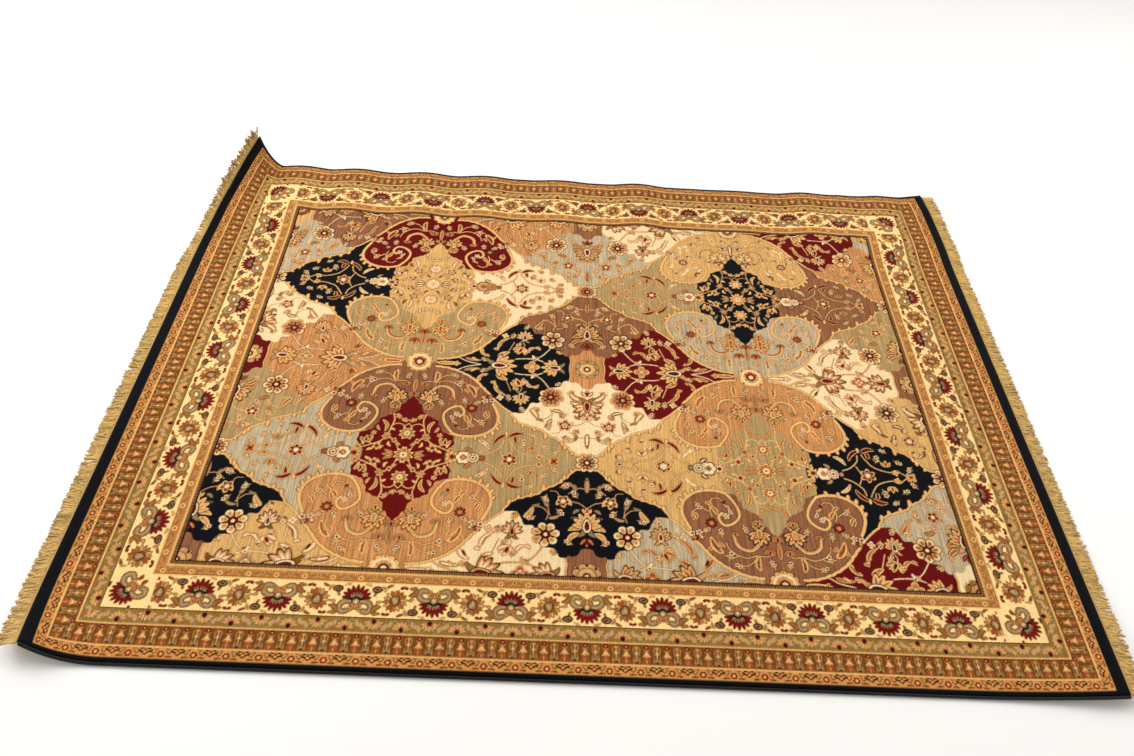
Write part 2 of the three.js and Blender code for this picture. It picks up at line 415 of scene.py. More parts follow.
FIELD_HALF_LENGTH = 822.7
FIELD_HALF_WIDTH = 572.0
TILE_X = FIELD_HALF_LENGTH / 2
TILE_Y = FIELD_HALF_WIDTH / 2

PANEL, SIDE, OGEE, DIAMOND, CRESCENT, WING = range(1, 7)
CORED_FROM = 4.0
RIM_WIDTH = 1.9

CRESCENT_ARC = ((369, 13), (340, 17), (313, 27), (286, 42), (264, 61), (248, 81), (231, 101))
VOLUTE = ((223, 126), (215, 143), (208, 165), (210, 187), (219, 203), (237, 217), (259, 225), (286, 226),
          (309, 220))
SPIRAL = ((309, 220), (324, 200), (333, 181), (335, 165), (328, 151), (313, 140), (299, 138), (290, 148),
          (289, 160), (297, 168))
DIAMOND_EDGE = ((411, 107), (397, 126), (384, 145), (381, 159), (367, 170), (346, 181), (338, 200),
                (327, 217), (308, 223), (301, 239), (303, 256), (313, 270), (318, 287))
SIDE_OGEE = ((181, 148), (165, 150), (150, 148), (140, 132), (133, 117), (114, 115), (108, 92), (95, 68),
             (68, 62), (58, 44), (44, 41))
SIDE_PANEL = ((44, 41), (41, 26), (43, 8), (43, -4))
OGEE_PANEL = ((44, 41), (38, 47), (30, 45), (19, 50), (11, 63), (-4, 66))
OGEE_WING = ((181, 148), (163, 174), (136, 186), (109, 195), (90, 210), (68, 222), (46, 241), (30, 260),
             (13, 267), (-4, 268))
SIDE_WING = ((231, 101), (215, 118), (196, 137), (181, 148))

FLAMES = (
    # root x, root y, tip x, tip y, half width
    (209, 176, 200, 186, 3.2),
    (213, 193, 205, 205, 3.6),
    (222, 206, 216, 220, 3.8),
    (238, 217, 233, 230, 3.6),
    (258, 224, 256, 236, 3.2),
    (282, 227, 286, 238, 2.8),
    (171, 168, 168, 181, 3.6),
    (150, 181, 150, 193, 3.4),
    (124, 191, 121, 202, 3.0),
    (97, 205, 96, 224, 3.8),
    (60, 228, 57, 241, 3.6),
    (52, 237, 51, 252, 3.4),
    (33, 256, 38, 266, 3.0),
)
STEMS = (
    # width, role, points
    (2.4, LIGHT, ((318, 22), (296, 9), (262, 0))),
    (2.6, LIGHT, ((186, 20), (172, 25), (150, 27), (130, 26.5), (113, 21), (98, 11), (91, 0))),
    (2.4, LIGHT, ((127, 28), (112, 39), (101, 53), (91, 68))),
    (2.2, VINE, ((196, 50), (190, 66), (184, 82))),
    (2.4, VINE, ((160, 62), (158, 74), (162, 84))),
    (2.2, VINE, ((412, 30), (412, 58))),
    (2.2, EDGE, ((398, 70), (380, 64), (362, 66), (342, 60), (322, 64), (304, 78), (298, 94))),
    (2.2, EDGE, ((362, 66), (354, 52), (340, 42), (326, 40))),
    (2.0, EDGE, ((322, 64), (308, 58), (290, 64))),
    (7.4, EDGE, ((369, 92), (354, 79), (338, 79), (322, 90), (317, 116))),
    (3.4, ACCENT, ((366, 90), (354, 81), (338, 81.5), (324, 92), (319, 112))),
    (2.4, EDGE, ((234, 148), (229, 160), (236, 173), (252, 180), (266, 172))),
    (2.4, EDGE, ((274, 159), (270, 176), (276, 204))),
    (2.0, EDGE, ((276, 204), (290, 207), (300, 200))),
    (2.6, VINE, ((374, 168), (378, 186), (375, 205), (368, 230), (357, 248), (338, 259), (310, 271))),
    (2.2, VINE, ((377, 202), (385, 197), (397, 199), (406, 210))),
    (2.0, VINE, ((411, 196), (404, 204))),
    (2.0, VINE, ((368, 230), (380, 242), (392, 258), (398, 272))),
    (2.0, VINE, ((338, 259), (326, 252), (322, 240))),
    (2.0, VINE, ((357, 248), (352, 262), (340, 272))),
    (2.6, EDGE, ((190, 231), (194, 248), (212, 266), (232, 275))),
    (2.6, EDGE, ((180, 228), (169, 247), (158, 261), (140, 270))),
    (2.2, EDGE, ((199, 261), (194, 272), (190, 284))),
    (2.2, EDGE, ((140, 270), (120, 274), (106, 268), (94, 276), (84, 284))),
    (1.8, VINE, ((79, 145), (95, 162), (114, 166))),
    (1.8, VINE, ((35, 181), (16, 176), (0, 163))),
    (1.8, VINE, ((41, 200), (30, 211), (30, 222))),
    (1.8, VINE, ((30, 213), (15, 216), (0, 213))),
    (1.8, VINE, ((87, 132), (82, 150), (84, 165))),
    (1.6, VINE, ((60, 190), (66, 204), (80, 206))),
)
LEAVES = (
    # root x, root y, tip x, tip y, half width, bend, role, rim role
    (369, 0, 310, 0, 6.5, 0, PETAL, None),
    (330, -8, 318, 8, 5.0, 0, PETAL, None),
    (302, 21, 260, 15, 5.5, 3, LEAF, None),
    (284, 24, 270, 12, 3.0, 0, PETAL, None),
    (266, 56, 243, 29, 6.5, 4, PETAL, None),
    (257, 50, 249, 36, 3.0, 0, DARK, None),
    (224, 55, 194, 97, 5.0, -9, PETAL, None),
    (216, 66, 202, 88, 2.0, -5, LEAF, None),
    (234, 57, 222, 52, 4.5, -2, PETAL, None),
    (221, 24, 194, 47, 8.0, -4, PETAL, None),
    (216, 29, 202, 41, 3.4, -2, ACCENT, None),
    (182, 48, 166, 64, 4.5, 4, PETAL, None),
    (147, 52, 130, 67, 5.0, -4, PETAL, None),
    (132, 66, 117, 58, 4.5, -4, PETAL, None),
    (136, 39, 128, 27, 3.4, 1, LIGHT, None),
    (412, 58, 412, 102, 6.5, 0, LEAF, None),
    (364, 31, 367, 64, 6.5, 4, VINE, None),
    (364, 36, 366, 56, 2.2, 4, GROUND, None),
    (289, 68, 266, 108, 8.0, 5, VINE, None),
    (284, 78, 270, 100, 3.4, 3, GROUND, None),
    (294, 84, 284, 96, 4.0, 2, VINE, None),
    (266, 86, 258, 74, 4.0, 2, VINE, None),
    (286, 164, 270, 186, 5.5, -3, VINE, None),
    (262, 196, 276, 182, 5.0, 3, VINE, None),
    (240, 150, 228, 168, 5.0, -5, VINE, None),
    (320, 166, 312, 182, 4.0, 2, LIGHT, None),
    (316, 184, 300, 192, 3.4, 2, LEAF, None),
    (352, 188, 361, 222, 4.6, -7, PETAL, None),
    (342, 204, 350, 220, 3.4, 2, LEAF, None),
    (392, 250, 401, 259, 3.2, 2, LEAF, None),
    (374, 250, 380, 264, 3.2, 3, PETAL, None),
    (329, 234, 336, 246, 3.2, -3, LEAF, None),
    (318, 262, 312, 250, 3.2, 2, PETAL, None),
    (372, 214, 383, 218, 3.0, -2, PETAL, None),
    (364, 262, 356, 274, 3.2, 2, LEAF, None),
    (340, 272, 328, 278, 3.4, 2, PETAL, None),
    (386, 280, 368, 272, 4.0, -2, LEAF, None),
    (388, 286, 364, 286, 4.2, 0, LEAF, None),
    (248, 236, 222, 260, 5.0, 5, LIGHT, None),
    (236, 238, 226, 246, 4.0, -2, EDGE, None),
    (185, 216, 213, 246, 4.2, -5, HEART, EDGE),
    (186, 208, 184, 222, 3.2, 0, EDGE, None),
    (178, 222, 146, 213, 4.6, 5, HEART, EDGE),
    (166, 222, 163, 239, 3.8, 0, HEART, EDGE),
    (262, 271, 275, 259, 4.2, -2, LEAF, DARK),
    (16, 102, 42, 80, 6.5, 4, PETAL, DARK),
    (14, 112, 40, 108, 6.0, 4, PETAL, DARK),
    (12, 128, 34, 140, 5.0, 3, LEAF, None),
    (84, 164, 88, 197, 5.5, -3, LEAF, None),
    (85, 172, 87, 188, 2.0, -3, GROUND, None),
    (82, 137, 58, 146, 4.0, 3, LEAF, DARK),
    (134, 136, 116, 163, 6.0, 3, PETAL, LEAF),
    (0, 204, 0, 246, 6.0, 0, LEAF, None),
    (26, 206, 30, 226, 3.6, 3, LEAF, None),
    (118, 166, 102, 172, 3.4, 2, LEAF, None),
    (16, 160, 30, 150, 3.6, 2, LEAF, None),
)
PALMETTES = (
    # x, y, facing angle, size, petal, rim, heart, core
    (219, 0, math.pi, 46, PETAL, DARK, HEART, LIGHT),
    (78, 0, 0.0, 36, PETAL, DARK, HEART, LIGHT),
    (158, 98, math.pi / 2, 27, PETAL, DARK, HEART, LIGHT),
    (373, 120, -math.pi / 2, 30, EDGE, RIM, ACCENT, EDGE),
    (0, 118, math.pi / 2, 40, PETAL, DARK, HEART, LIGHT),
)
BUDS = (
    # x, y, facing angle, size, petal, heart
    (162, 64, -1.1, 26, PETAL, HEART),
    (390, 80, -1.6, 17, ACCENT, HEART),
    (373, 152, -1.57, 18, PETAL, HEART),
    (411, 112, -1.57, 18, ACCENT, HEART),
    (320, 120, -1.6, 14, ACCENT, HEART),
    (400, 190, -1.2, 12, PETAL, ACCENT),
    (323, 254, -1.57, 19, PETAL, HEART),
    (389, 172, 2.4, 12, PETAL, ACCENT),
    (126, 258, -1.57, 17, PETAL, HEART),
    (50, 188, -1.57, 24, PETAL, HEART),
    (43, 230, -1.57, 16, LEAF, PETAL),
    (0, 88, -1.57, 20, HEART, HEART),
    (0, 152, 1.57, 15, PETAL, HEART),
)
FLORETS = (
    # x, y, radius, petals, turn, petal, heart, rim
    (136, 0, 16, 4, 0.0, ACCENT, PETAL, PETAL),
    (271, 142, 12.5, 8, 0.2, HEART, ACCENT, None),
    (305, 161, 8, 5, 0.5, LIGHT, PETAL, None),
    (367, 235, 11, 5, 0.5, LEAF, ACCENT, None),
    (349, 264, 11, 5, 0.2, PETAL, HEART, None),
    (337, 227, 6.5, 5, 0.6, PETAL, ACCENT, None),
    (385, 246, 7, 4, 0.4, PETAL, HEART, None),
    (303, 286, 15, 7, 0.45, PETAL, HEART, None),
    (308, 268, 8, 5, 0.2, PETAL, ACCENT, None),
    (175, 286, 16, 6, 0.5, HEART, LIGHT, EDGE),
    (74, 287, 12, 5, 0.3, ACCENT, HEART, EDGE),
    (108, 276, 8, 4, 0.3, PETAL, ACCENT, None),
    (52, 181, 13, 5, 0.9, HEART, LIGHT, PETAL),
    (231, 104, 9, 5, 0.3, HEART, ACCENT, None),
    (242, 117, 8, 5, 0.1, LIGHT, ACCENT, None),
    (226, 114, 7.5, 5, 0.7, LIGHT, HEART, None),
    (208, 104, 9, 4, 0.2, LIGHT, PETAL, None),
    (247, 106, 7, 5, 0.2, ACCENT, LIGHT, None),
)
ROSETTES = (
    # x, y, radius, petals, turn
    (87, 96, 31, 7, 0.3),
    (0, TILE_Y, 27, 8, 0.39),
)
DOTS = (
    # x, y, radius, role
    (386, 107, 2.6, HEART),
    (373, 105, 3.0, HEART),
    (362, 107, 2.6, HEART),
    (374, 134, 2.6, DARK),
    (303, 197, 3.0, HEART),
    (0, 239, 2.6, HEART),
    (24, 21, 1.6, LIGHT),
)
SPRIGS = (
    # x, y, angle, length
    (150, 250, -1.9, 18),
    (104, 240, 2.6, 15),
    (118, 220, -0.6, 14),
    (66, 256, 0.9, 15),
    (20, 190, 1.0, 16),
    (66, 160, -2.4, 16),
    (100, 190, -2.6, 15),
    (60, 216, 2.9, 16),
    (30, 74, 0.5, 15),
    (110, 140, -0.4, 15),
    (150, 150, -1.2, 16),
    (186, 116, -1.4, 16),
    (118, 34, -0.6, 15),
    (160, 44, 2.6, 14),
    (246, 12, 0.7, 14),
    (180, 66, 2.4, 14),
    (60, 50, 0.4, 14),
    (300, 52, 1.2, 18),
    (330, 34, 2.6, 16),
    (250, 118, 0.6, 15),
    (240, 194, -1.0, 16),
    (290, 108, 1.6, 16),
    (396, 36, 1.9, 16),
    (340, 140, -1.2, 16),
)
MEDALLION_GROUNDS = (
    # row, column, diamond, crescent in front, crescent behind, wing left, wing right
    (0, 0, "red", "orange", "mauve", "bluegrey", "sage"),
    (0, 1, "sage", "mauve", "orange", "gold", "navy"),
    (1, 0, "gold", "sage", "red", "navy", "cream"),
    (1, 1, "navy", "bluegrey", "gold", "sage", "mauve"),
)
PANEL_GROUNDS = (
    # row, column, panel, side left, side right, ogee in front, ogee behind
    (0, 0, "mauve", "gold", "gold", "navy", "navy"),
    (0, 1, "mauve", "cream", "bluegrey", "navy", "navy"),
    (0, 2, "cream", "red", "red", "bluegrey", "bluegrey"),
    (1, 0, "red", "orange", "orange", "sage", "cream"),
    (1, 1, "orange", "navy", "red", "cream", "mauve"),
    (1, 2, "mauve", "cream", "cream", "gold", "sage"),
    (2, 0, "gold", "mauve", "mauve", "bluegrey", "bluegrey"),
    (2, 1, "mauve", "orange", "cream", "bluegrey", "bluegrey"),
    (2, 2, "bluegrey", "red", "red", "orange", "orange"),
)


def compartments(draft):
    """The grounds of the quarter panel and the light lines between them."""
    arc, volute, diamond = through(CRESCENT_ARC), through(VOLUTE), through(DIAMOND_EDGE)
    side_ogee, side_panel, ogee_panel = through(SIDE_OGEE), through(SIDE_PANEL), through(OGEE_PANEL)
    ogee_wing, side_wing = through(OGEE_WING), through(SIDE_WING)
    draft.zone[:] = WING
    draft.fill(np.vstack([[(430, -4), (369, -4)], arc, volute, [(430, 220)]]), CRESCENT)
    draft.fill(np.vstack([scalloped(diamond, 11, -3.2), [(430, 287), (430, 107)]]), DIAMOND)
    draft.fill(np.vstack([side_ogee, ogee_panel, [(-4, 268)], ogee_wing[::-1]]), OGEE)
    draft.fill(np.vstack([[(369, -4)], arc, side_wing, side_ogee, side_panel]), SIDE)
    draft.fill(np.vstack([side_panel, [(-4, -4)], ogee_panel[::-1]]), PANEL)
    draft.stem(side_panel, 2.6, EDGE)
    draft.stem(scalloped(arc, 9, 1.5), 6.2, EDGE)
    draft.stem(volute, 7.0, EDGE)
    draft.stem(through(SPIRAL), 6.2, EDGE)
    draft.stem(scalloped(ogee_wing, 12, -2.0), 4.2, EDGE)
    draft.stem(side_wing, 4.6, EDGE)


def link_rosette(draft, cx, cy):
    """The ringed rosette where four crescents and sides meet."""
    draft.star(cx, cy, 33, 12, 0, PETAL, 0.84, 0.6)
    draft.ring(cx, cy, 22.5, 4.6, LIGHT)
    draft.disc(cx, cy, 20, PETAL)
    draft.star(cx, cy, 18.5, 8, 0.2, ACCENT, 0.7)
    draft.disc(cx, cy, 11.5, HEART)
    draft.disc(cx, cy, 6.3, LIGHT)
    for a in np.arange(8) * math.tau / 8:
        draft.disc(cx + 29 * math.cos(a), cy + 29 * math.sin(a), 2.0, HEART)


WING_DISCS = (
    # x, radius, role, lobes
    (277, 20.0, DARK, 6),
    (277, 17.6, LIGHT, 6),
    (256, 15.0, DARK, 8),
    (256, 13.2, LIGHT, 8),
    (256, 10.0, ACCENT, 8),
    (256, 6.4, LIGHT, 8),
    (256, 3.2, HEART, 8),
    (278, 8.0, ACCENT, 4),
    (278, 3.6, LEAF, 4),
    (237, 7.4, DARK, 5),
    (237, 5.8, ACCENT, 5),
)


def wing_palmette(draft, cy):
    """The flower of rings between a diamond and its wing."""
    for cx, size, mark, lobes in WING_DISCS:
        draft.star(cx, cy, size, lobes, 0, mark, 0.8, 0.7)


def sprig(draft, x, y, angle, size):
    """A short stem with two leaves and a small flower."""
    c, s = size * math.cos(angle), size * math.sin(angle)
    draft.stem(np.array([(x, y), (x + 0.5 * c, y + 0.5 * s), (x + c, y + s)]), 1.7, VINE)
    for side in (-1, 1):
        draft.leaf(x + 0.3 * c, y + 0.3 * s, x + 0.75 * c - side * 0.45 * s, y + 0.75 * s + side * 0.45 * c,
                   0.13 * size, side * 0.06 * size, LEAF if side > 0 else PETAL)
    draft.floret(x + c, y + s, 0.36 * size, 5, angle, LIGHT, HEART)


def panel_rosette(draft, cx, cy):
    """The rosette in the middle of a panel."""
    draft.star(cx, cy, 31, 8, math.pi / 8, LEAF, 0.78, 0.6)
    for a in np.arange(8) * math.tau / 8:
        draft.disc(cx + 26 * math.cos(a), cy + 26 * math.sin(a), 3.0, DARK)
    draft.star(cx, cy, 19.5, 8, 0, PETAL, 0.75, 0.6)
    draft.ring(cx, cy, 20, 1.6, DARK)
    draft.disc(cx, cy, 9.5, HEART)
    draft.disc(cx, cy, 4.6, LIGHT)


def quarter_panel(pitch):
    """The drawing of the quarter panel."""
    draft = Draft(TILE_X, TILE_Y, pitch)
    compartments(draft)
    for x0, y0, x1, y1, width in FLAMES:
        draft.leaf(x0, y0, x1, y1, width, 0.25 * width, EDGE, ACCENT)
    for width, role, points in STEMS:
        draft.stem(through(points), width, role)
    for x0, y0, x1, y1, width, bend, role, rim in LEAVES:
        core = CORE if width >= CORED_FROM and role in (LEAF, PETAL, VINE, LIGHT) else None
        draft.leaf(x0, y0, x1, y1, width, bend, role, rim, core)
    for row in PALMETTES:
        draft.palmette(*row)
    for row in BUDS:
        draft.bud(*row)
    for row in FLORETS:
        draft.floret(*row)
    for row in ROSETTES:
        draft.rosette(*row)
    for row in DOTS:
        draft.disc(*row)
    for row in SPRIGS:
        sprig(draft, *row)
    wing_palmette(draft, TILE_Y)
    draft.starflower(TILE_X, TILE_Y, 23, 11)
    draft.starflower(TILE_X, 225, 19, 9)
    link_rosette(draft, TILE_X, 0)
    panel_rosette(draft, 0, 0)
    draft.outlined(RIM_WIDTH, RIM, bare=(VINE,))
    return draft


def grounds(zone, u, v):
    """The dye of each compartment's ground, over the whole field."""
    ground = np.zeros(zone.shape, np.uint8)
    column = np.where(np.abs(u) < TILE_X, 1, np.where(u > 0, 2, 0))[None, :]
    row = np.where(np.abs(v) < TILE_Y, 1, np.where(v > 0, 2, 0))[:, None]
    for at_row, at_column, diamond, front, behind, left, right in MEDALLION_GROUNDS:
        here = ((v > 0) == at_row)[:, None] & ((u > 0) == at_column)[None, :]
        right_of = (u > (2 * at_column - 1) * TILE_X)[None, :]
        behind_of = (v > (2 * at_row - 1) * TILE_Y)[:, None]
        ground[here & (zone == DIAMOND)] = NO[diamond]
        ground[here & (zone == CRESCENT) & ~behind_of] = NO[front]
        ground[here & (zone == CRESCENT) & behind_of] = NO[behind]
        ground[here & (zone == WING) & ~right_of] = NO[left]
        ground[here & (zone == WING) & right_of] = NO[right]
    for at_row, at_column, panel, left, right, front, behind in PANEL_GROUNDS:
        here = (row == at_row) & (column == at_column)
        right_of = (u > (at_column - 1) * FIELD_HALF_LENGTH)[None, :]
        behind_of = (v > (at_row - 1) * FIELD_HALF_WIDTH)[:, None]
        ground[here & (zone == PANEL)] = NO[panel]
        ground[here & (zone == SIDE) & ~right_of] = NO[left]
        ground[here & (zone == SIDE) & right_of] = NO[right]
        ground[here & (zone == OGEE) & ~behind_of] = NO[front]
        ground[here & (zone == OGEE) & behind_of] = NO[behind]
    return ground


def field_dyes(u, v, pitch):
    """Dye numbers of the field's drawing at the crossings of u and v."""
    draft = quarter_panel(pitch)
    x = np.where(np.abs(u) > TILE_X, FIELD_HALF_LENGTH - np.abs(u), np.abs(u))
    y = np.where(np.abs(v) > TILE_Y, FIELD_HALF_WIDTH - np.abs(v), np.abs(v))
    i = np.clip(x / pitch, 0, draft.nx - 1).astype(int)[None, :]
    j = np.clip(y / pitch, 0, draft.ny - 1).astype(int)[:, None]
    by_role = np.zeros((len(DYES), 1 + len(SCHEMES["navy"])), np.uint8)
    for name, dyes in SCHEMES.items():
        by_role[NO[name]] = [NO[name], *(NO[d] for d in dyes)]
    return by_role[grounds(draft.zone[j, i], u, v), draft.mark[j, i]]


# The borders: bands measured out from the field's edge; a repeat's x runs along its band, y out across.


SHOULDER_SCROLL = ((9, -5), (18, -5), (27, -10), (30, -19), (24, -27), (16, -25))
SMILE = ((-14, 4), (-10, -1), (-5, 1), (0, 4), (5, 1), (10, -1), (14, 4))
PALMETTE_OUTLINE = 1.3
FIGURE_OUTLINE = 0.9
# Half the length of each band's repeat, and the spacing of the guard band's beads.
PALMETTE_HALF, GUARD_HALF, STARBURST_HALF, FIGURE_HALF, RING_HALF = 75.0, 27.3, 52.6, 19.5, 29.25
BEAD_STEP, BEADS = 4.55, 13
CORNER_SIZE, CORNER_FROM = 92.5, -20.0


def bare_repeat(half, height, pitch, ground):
    """A repeat of a band with nothing on it; x is 0 in its middle and y is 0 at its inner edge."""
    return Draft(2 * half, height, pitch, -half, 0.0, NO[ground])


def mirrored_leaves(draft, side, rows):
    """Draws one side's leaves of a table, mirrored where side is -1."""
    for x0, y0, x1, y1, width, bend, name, core in rows:
        middle = None if core is None else NO[core]
        draft.leaf(side * x0, y0, side * x1, y1, width, side * bend, NO[name], None, middle)


def border_palmette(draft, cx, cy, angle):
    """A red palmette with hooked shoulders, a dark smile and two buds."""
    c, s = math.cos(angle), math.sin(angle)

    def at(across, along):
        return cx + along * c - across * s, cy + along * s + across * c

    for side in (-1, 1):
        scroll = through([at(side * a, b) for a, b in SHOULDER_SCROLL])
        for width, name in ((11.5, "umber"), (9.5, "grey"), (2.2, "tan")):
            draft.stem(scroll, width, NO[name])
        draft.leaf(*at(side * 2, -12), *at(side * 12, -28), 3.4, side, NO["brown"], None, NO["tan"])
        draft.disc(*at(side * 38, 21.5), 10.0, NO["umber"], 0.7)
        draft.disc(*at(side * 38, 21.5), 7.0, NO["grey"], 0.6)
        draft.leaf(*at(side * 33, 23), *at(side * 43, 20), 2.4, 0, NO["maroon"])
        draft.leaf(*at(side * 34, 10), *at(side * 39, 18), 2.2, 0, NO["umber"])
    for k in (-1, 1, -0.5, 0.5, 0):
        draft.leaf(*at(4 * k, -7), *at(12 * k, -23 + 5 * abs(k)), 3.4, 0, NO["brown"], None, NO["orange"])
    for k in np.linspace(-1, 1, 9):
        a, far = k * 1.55, 30 - 2.0 * abs(k)
        tip = at(far * math.sin(a), 3 + (far - 2) * math.cos(a))
        draft.leaf(*at(4 * math.sin(a), 1), *tip, 4.6, 0, NO["maroon"])
    for k in np.linspace(-1, 1, 7):
        a = k * 1.5
        draft.leaf(*at(6 * math.sin(a), 4), *at(15 * math.sin(a), 4 + 11 * math.cos(a)), 1.6, 0, NO["grey"])
    draft.disc(*at(0, -3), 9.0, NO["umber"])
    draft.disc(*at(0, -5), 6.6, NO["grey"])
    draft.disc(*at(0, -6), 3.6, NO["line"])
    draft.stem(through([at(a, b) for a, b in SMILE]), 4.2, NO["black"])


def border_rosette(draft, cx, cy):
    """A round flower of golden petals, rust over its top, with a leaning oval heart."""
    for k in range(15):
        turn = 0.3 + k * math.tau / 15
        c, s = math.cos(turn), math.sin(turn)
        petal = "rust" if s < -0.55 else ("orange", "ochre", "gold")[k % 3]
        draft.leaf(cx + 7 * c, cy + 7 * s, cx + 24 * c, cy + 24 * s, 4.1, 0, NO["brown"], None, NO[petal])
        draft.leaf(cx + 9 * c, cy + 9 * s, cx + 23 * c, cy + 23 * s, 2.7, 0, NO[petal])
    draft.disc(cx, cy, 12.0, NO["brown"])
    draft.leaf(cx - 6, cy + 11, cx + 6, cy - 11, 8.4, 0, NO["umber"])
    draft.leaf(cx - 5, cy + 9.5, cx + 5, cy - 9.5, 6.4, 0, NO["grey"])
    draft.leaf(cx - 3, cy + 7, cx + 3, cy - 4, 3.8, 0, NO["tan"])


PALMETTE_LEAVES = (
    # root x, root y, tip x, tip y, half width, bend, dye, core dye
    (33, 8, 50, 24, 6.5, 5, "brown", "ochre"),
    (36, 5, 50, 8, 4.0, 2, "ochre", None),
    (46, 66, 54, 54, 3.6, 3, "gold", "ochre"),
    (40, 26, 50, 34, 3.4, 3, "olive", "tan"),
    (33, 44, 37, 52, 2.2, 0, "olive", None),
    (53, 10, 60, 5, 2.8, 0, "maroon", None),
    (67, 10, 60, 5, 2.8, 0, "maroon", None),
)
PALMETTE_TOP_LEAVES = (
    # as in PALMETTE_LEAVES
    (14, 70, 26, 66, 2.2, 1, "gold", None),
)


def palmette_repeat(pitch):
    draft = bare_repeat(PALMETTE_HALF, 72.5, pitch, "straw")
    border_palmette(draft, 0, 38, math.pi / 2)
    for side in (-1, 1):
        border_rosette(draft, side * PALMETTE_HALF, 36)
        mirrored_leaves(draft, side, PALMETTE_LEAVES)
        draft.leaf(side * 56, 64, side * 68, 70, 2.6, 1, NO["brown"])
        mirrored_leaves(draft, side, PALMETTE_TOP_LEAVES)
    draft.outlined(PALMETTE_OUTLINE, NO["ochre"], NO["straw"])
    return draft


def palmette_corner(pitch):
    draft = Draft(CORNER_SIZE, CORNER_SIZE, pitch, CORNER_FROM, CORNER_FROM, NO["straw"])
    border_palmette(draft, 37, 37, math.pi / 4)
    draft.leaf(2, 14, 12, 24, 4.0, -2, NO["brown"])
    draft.leaf(14, 2, 24, 12, 4.0, 2, NO["brown"])
    draft.outlined(PALMETTE_OUTLINE, NO["ochre"], NO["straw"])
    return draft


GUARD_LEAVES = (
    # as in PALMETTE_LEAVES
    (8, 12, 21, 6, 3.4, 2, "ochre", None),
    (10, 4.5, 18, 3.5, 2.0, 0, "orange", None),
    (14, 14.5, 23, 14, 2.0, 0, "orange", None),
)


def guard_repeat(pitch):
    draft = bare_repeat(GUARD_HALF, 19.0, pitch, "ginger")
    for x in np.arange(BEADS) * BEAD_STEP - GUARD_HALF:
        draft.disc(x, 17.8, 1.3, NO["brown"])
        draft.disc(x + 2.3, 1.2, 1.1, NO["line"])
    for side in (-1, 1):
        draft.star(side * GUARD_HALF, 7.5, 4.6, 6, 0, NO["tan"], 0.8)
        draft.disc(side * GUARD_HALF, 7.5, 2.2, NO["brown"])
        mirrored_leaves(draft, side, GUARD_LEAVES)
    draft.star(0, 11.5, 6.2, 6, 0, NO["line"], 0.8)
    draft.disc(0, 11.5, 2.7, NO["rust"])
    return draft


STARBURST_LEAVES = (
    # as in PALMETTE_LEAVES
    (18, 5, 28, 18, 4.8, 2, "sage", "tan"),
    (35, 25, 25, 11, 4.8, 2, "sage", "tan"),
    (8, 4, 18, 3, 2.6, 0, "grey", None),
    (45, 25, 35, 27, 2.6, 0, "grey", None),
)


def starburst_repeat(pitch):
    draft = bare_repeat(STARBURST_HALF, 29.0, pitch, "olive")
    for side in (-1, 1):
        draft.stem(through([(side * 15, 25), (side * 24, 18), (side * 37, 4)]), 3.4, NO["ochre"])
        mirrored_leaves(draft, side, STARBURST_LEAVES)
    for cx, cy, way in ((0, 21, -1), (-STARBURST_HALF, 8, 1), (STARBURST_HALF, 8, 1)):
        for k in np.linspace(-1, 1, 7):
            c, s = way * math.cos(k * 1.45), math.sin(k * 1.45)
            draft.leaf(cx + 4 * s, cy + 4 * c, cx + 17 * s, cy + 16 * c, 2.5, 0, NO["gold"])
            draft.leaf(cx + 4 * s, cy + 4 * c, cx + 12 * s, cy + 11 * c, 1.7, 0, NO["orange"])
        draft.disc(cx, cy, 4.8, NO["maroon"])
        draft.disc(cx, cy - way * 2.6, 3.6, NO["black"])
    return draft


FIGURE_EDGE_LEAVES = (
    # as in PALMETTE_LEAVES
    (10.5, 1, 10.5, 39, 2.6, 1, "moss", None),
    (12.5, 6, 14.5, 20, 1.4, 0, "ginger", None),
    (12.5, 37, 14.5, 25, 1.4, 0, "ginger", None),
    (FIGURE_HALF, 3, FIGURE_HALF, 38, 1.5, 0, "tan", None),
)
FIGURE_LEAVES = (
    # as in PALMETTE_LEAVES
    (0, 14, 8, 25, 2.6, 2, "orange", "line"),
    (0, 27, 7, 38, 2.4, -1, "rust", None),
    (0, 12, 6, 10, 1.6, 0, "ginger", None),
)


def figure_repeat(pitch):
    draft = bare_repeat(FIGURE_HALF, 40.0, pitch, "brown")
    for side in (-1, 1):
        cx = side * FIGURE_HALF
        mirrored_leaves(draft, side, FIGURE_EDGE_LEAVES)
        for hand in (-1, 1):
            draft.leaf(cx + hand * 6, 22, cx, 15, 1.5, 0, NO["grey"])
            draft.leaf(cx + hand * 5, 36, cx, 28, 1.6, 0, NO["grey"])
            draft.leaf(cx + hand * 4, 5, cx, 9, 1.4, 0, NO["tan"])
        draft.disc(cx, 18, 2.6, NO["line"])
        draft.disc(cx, 36, 2.4, NO["umber"])
    draft.leaf(0, 4, 0, 39, 3.2, 0, NO["orange"])
    for side in (-1, 1):
        mirrored_leaves(draft, side, FIGURE_LEAVES)
    draft.disc(0, 20, 3.2, NO["line"])
    draft.disc(0, 6.0, 5.0, NO["maroon"])
    draft.disc(0, 6.0, 2.0, NO["orange"])
    draft.outlined(FIGURE_OUTLINE, NO["moss"], NO["brown"])
    return draft


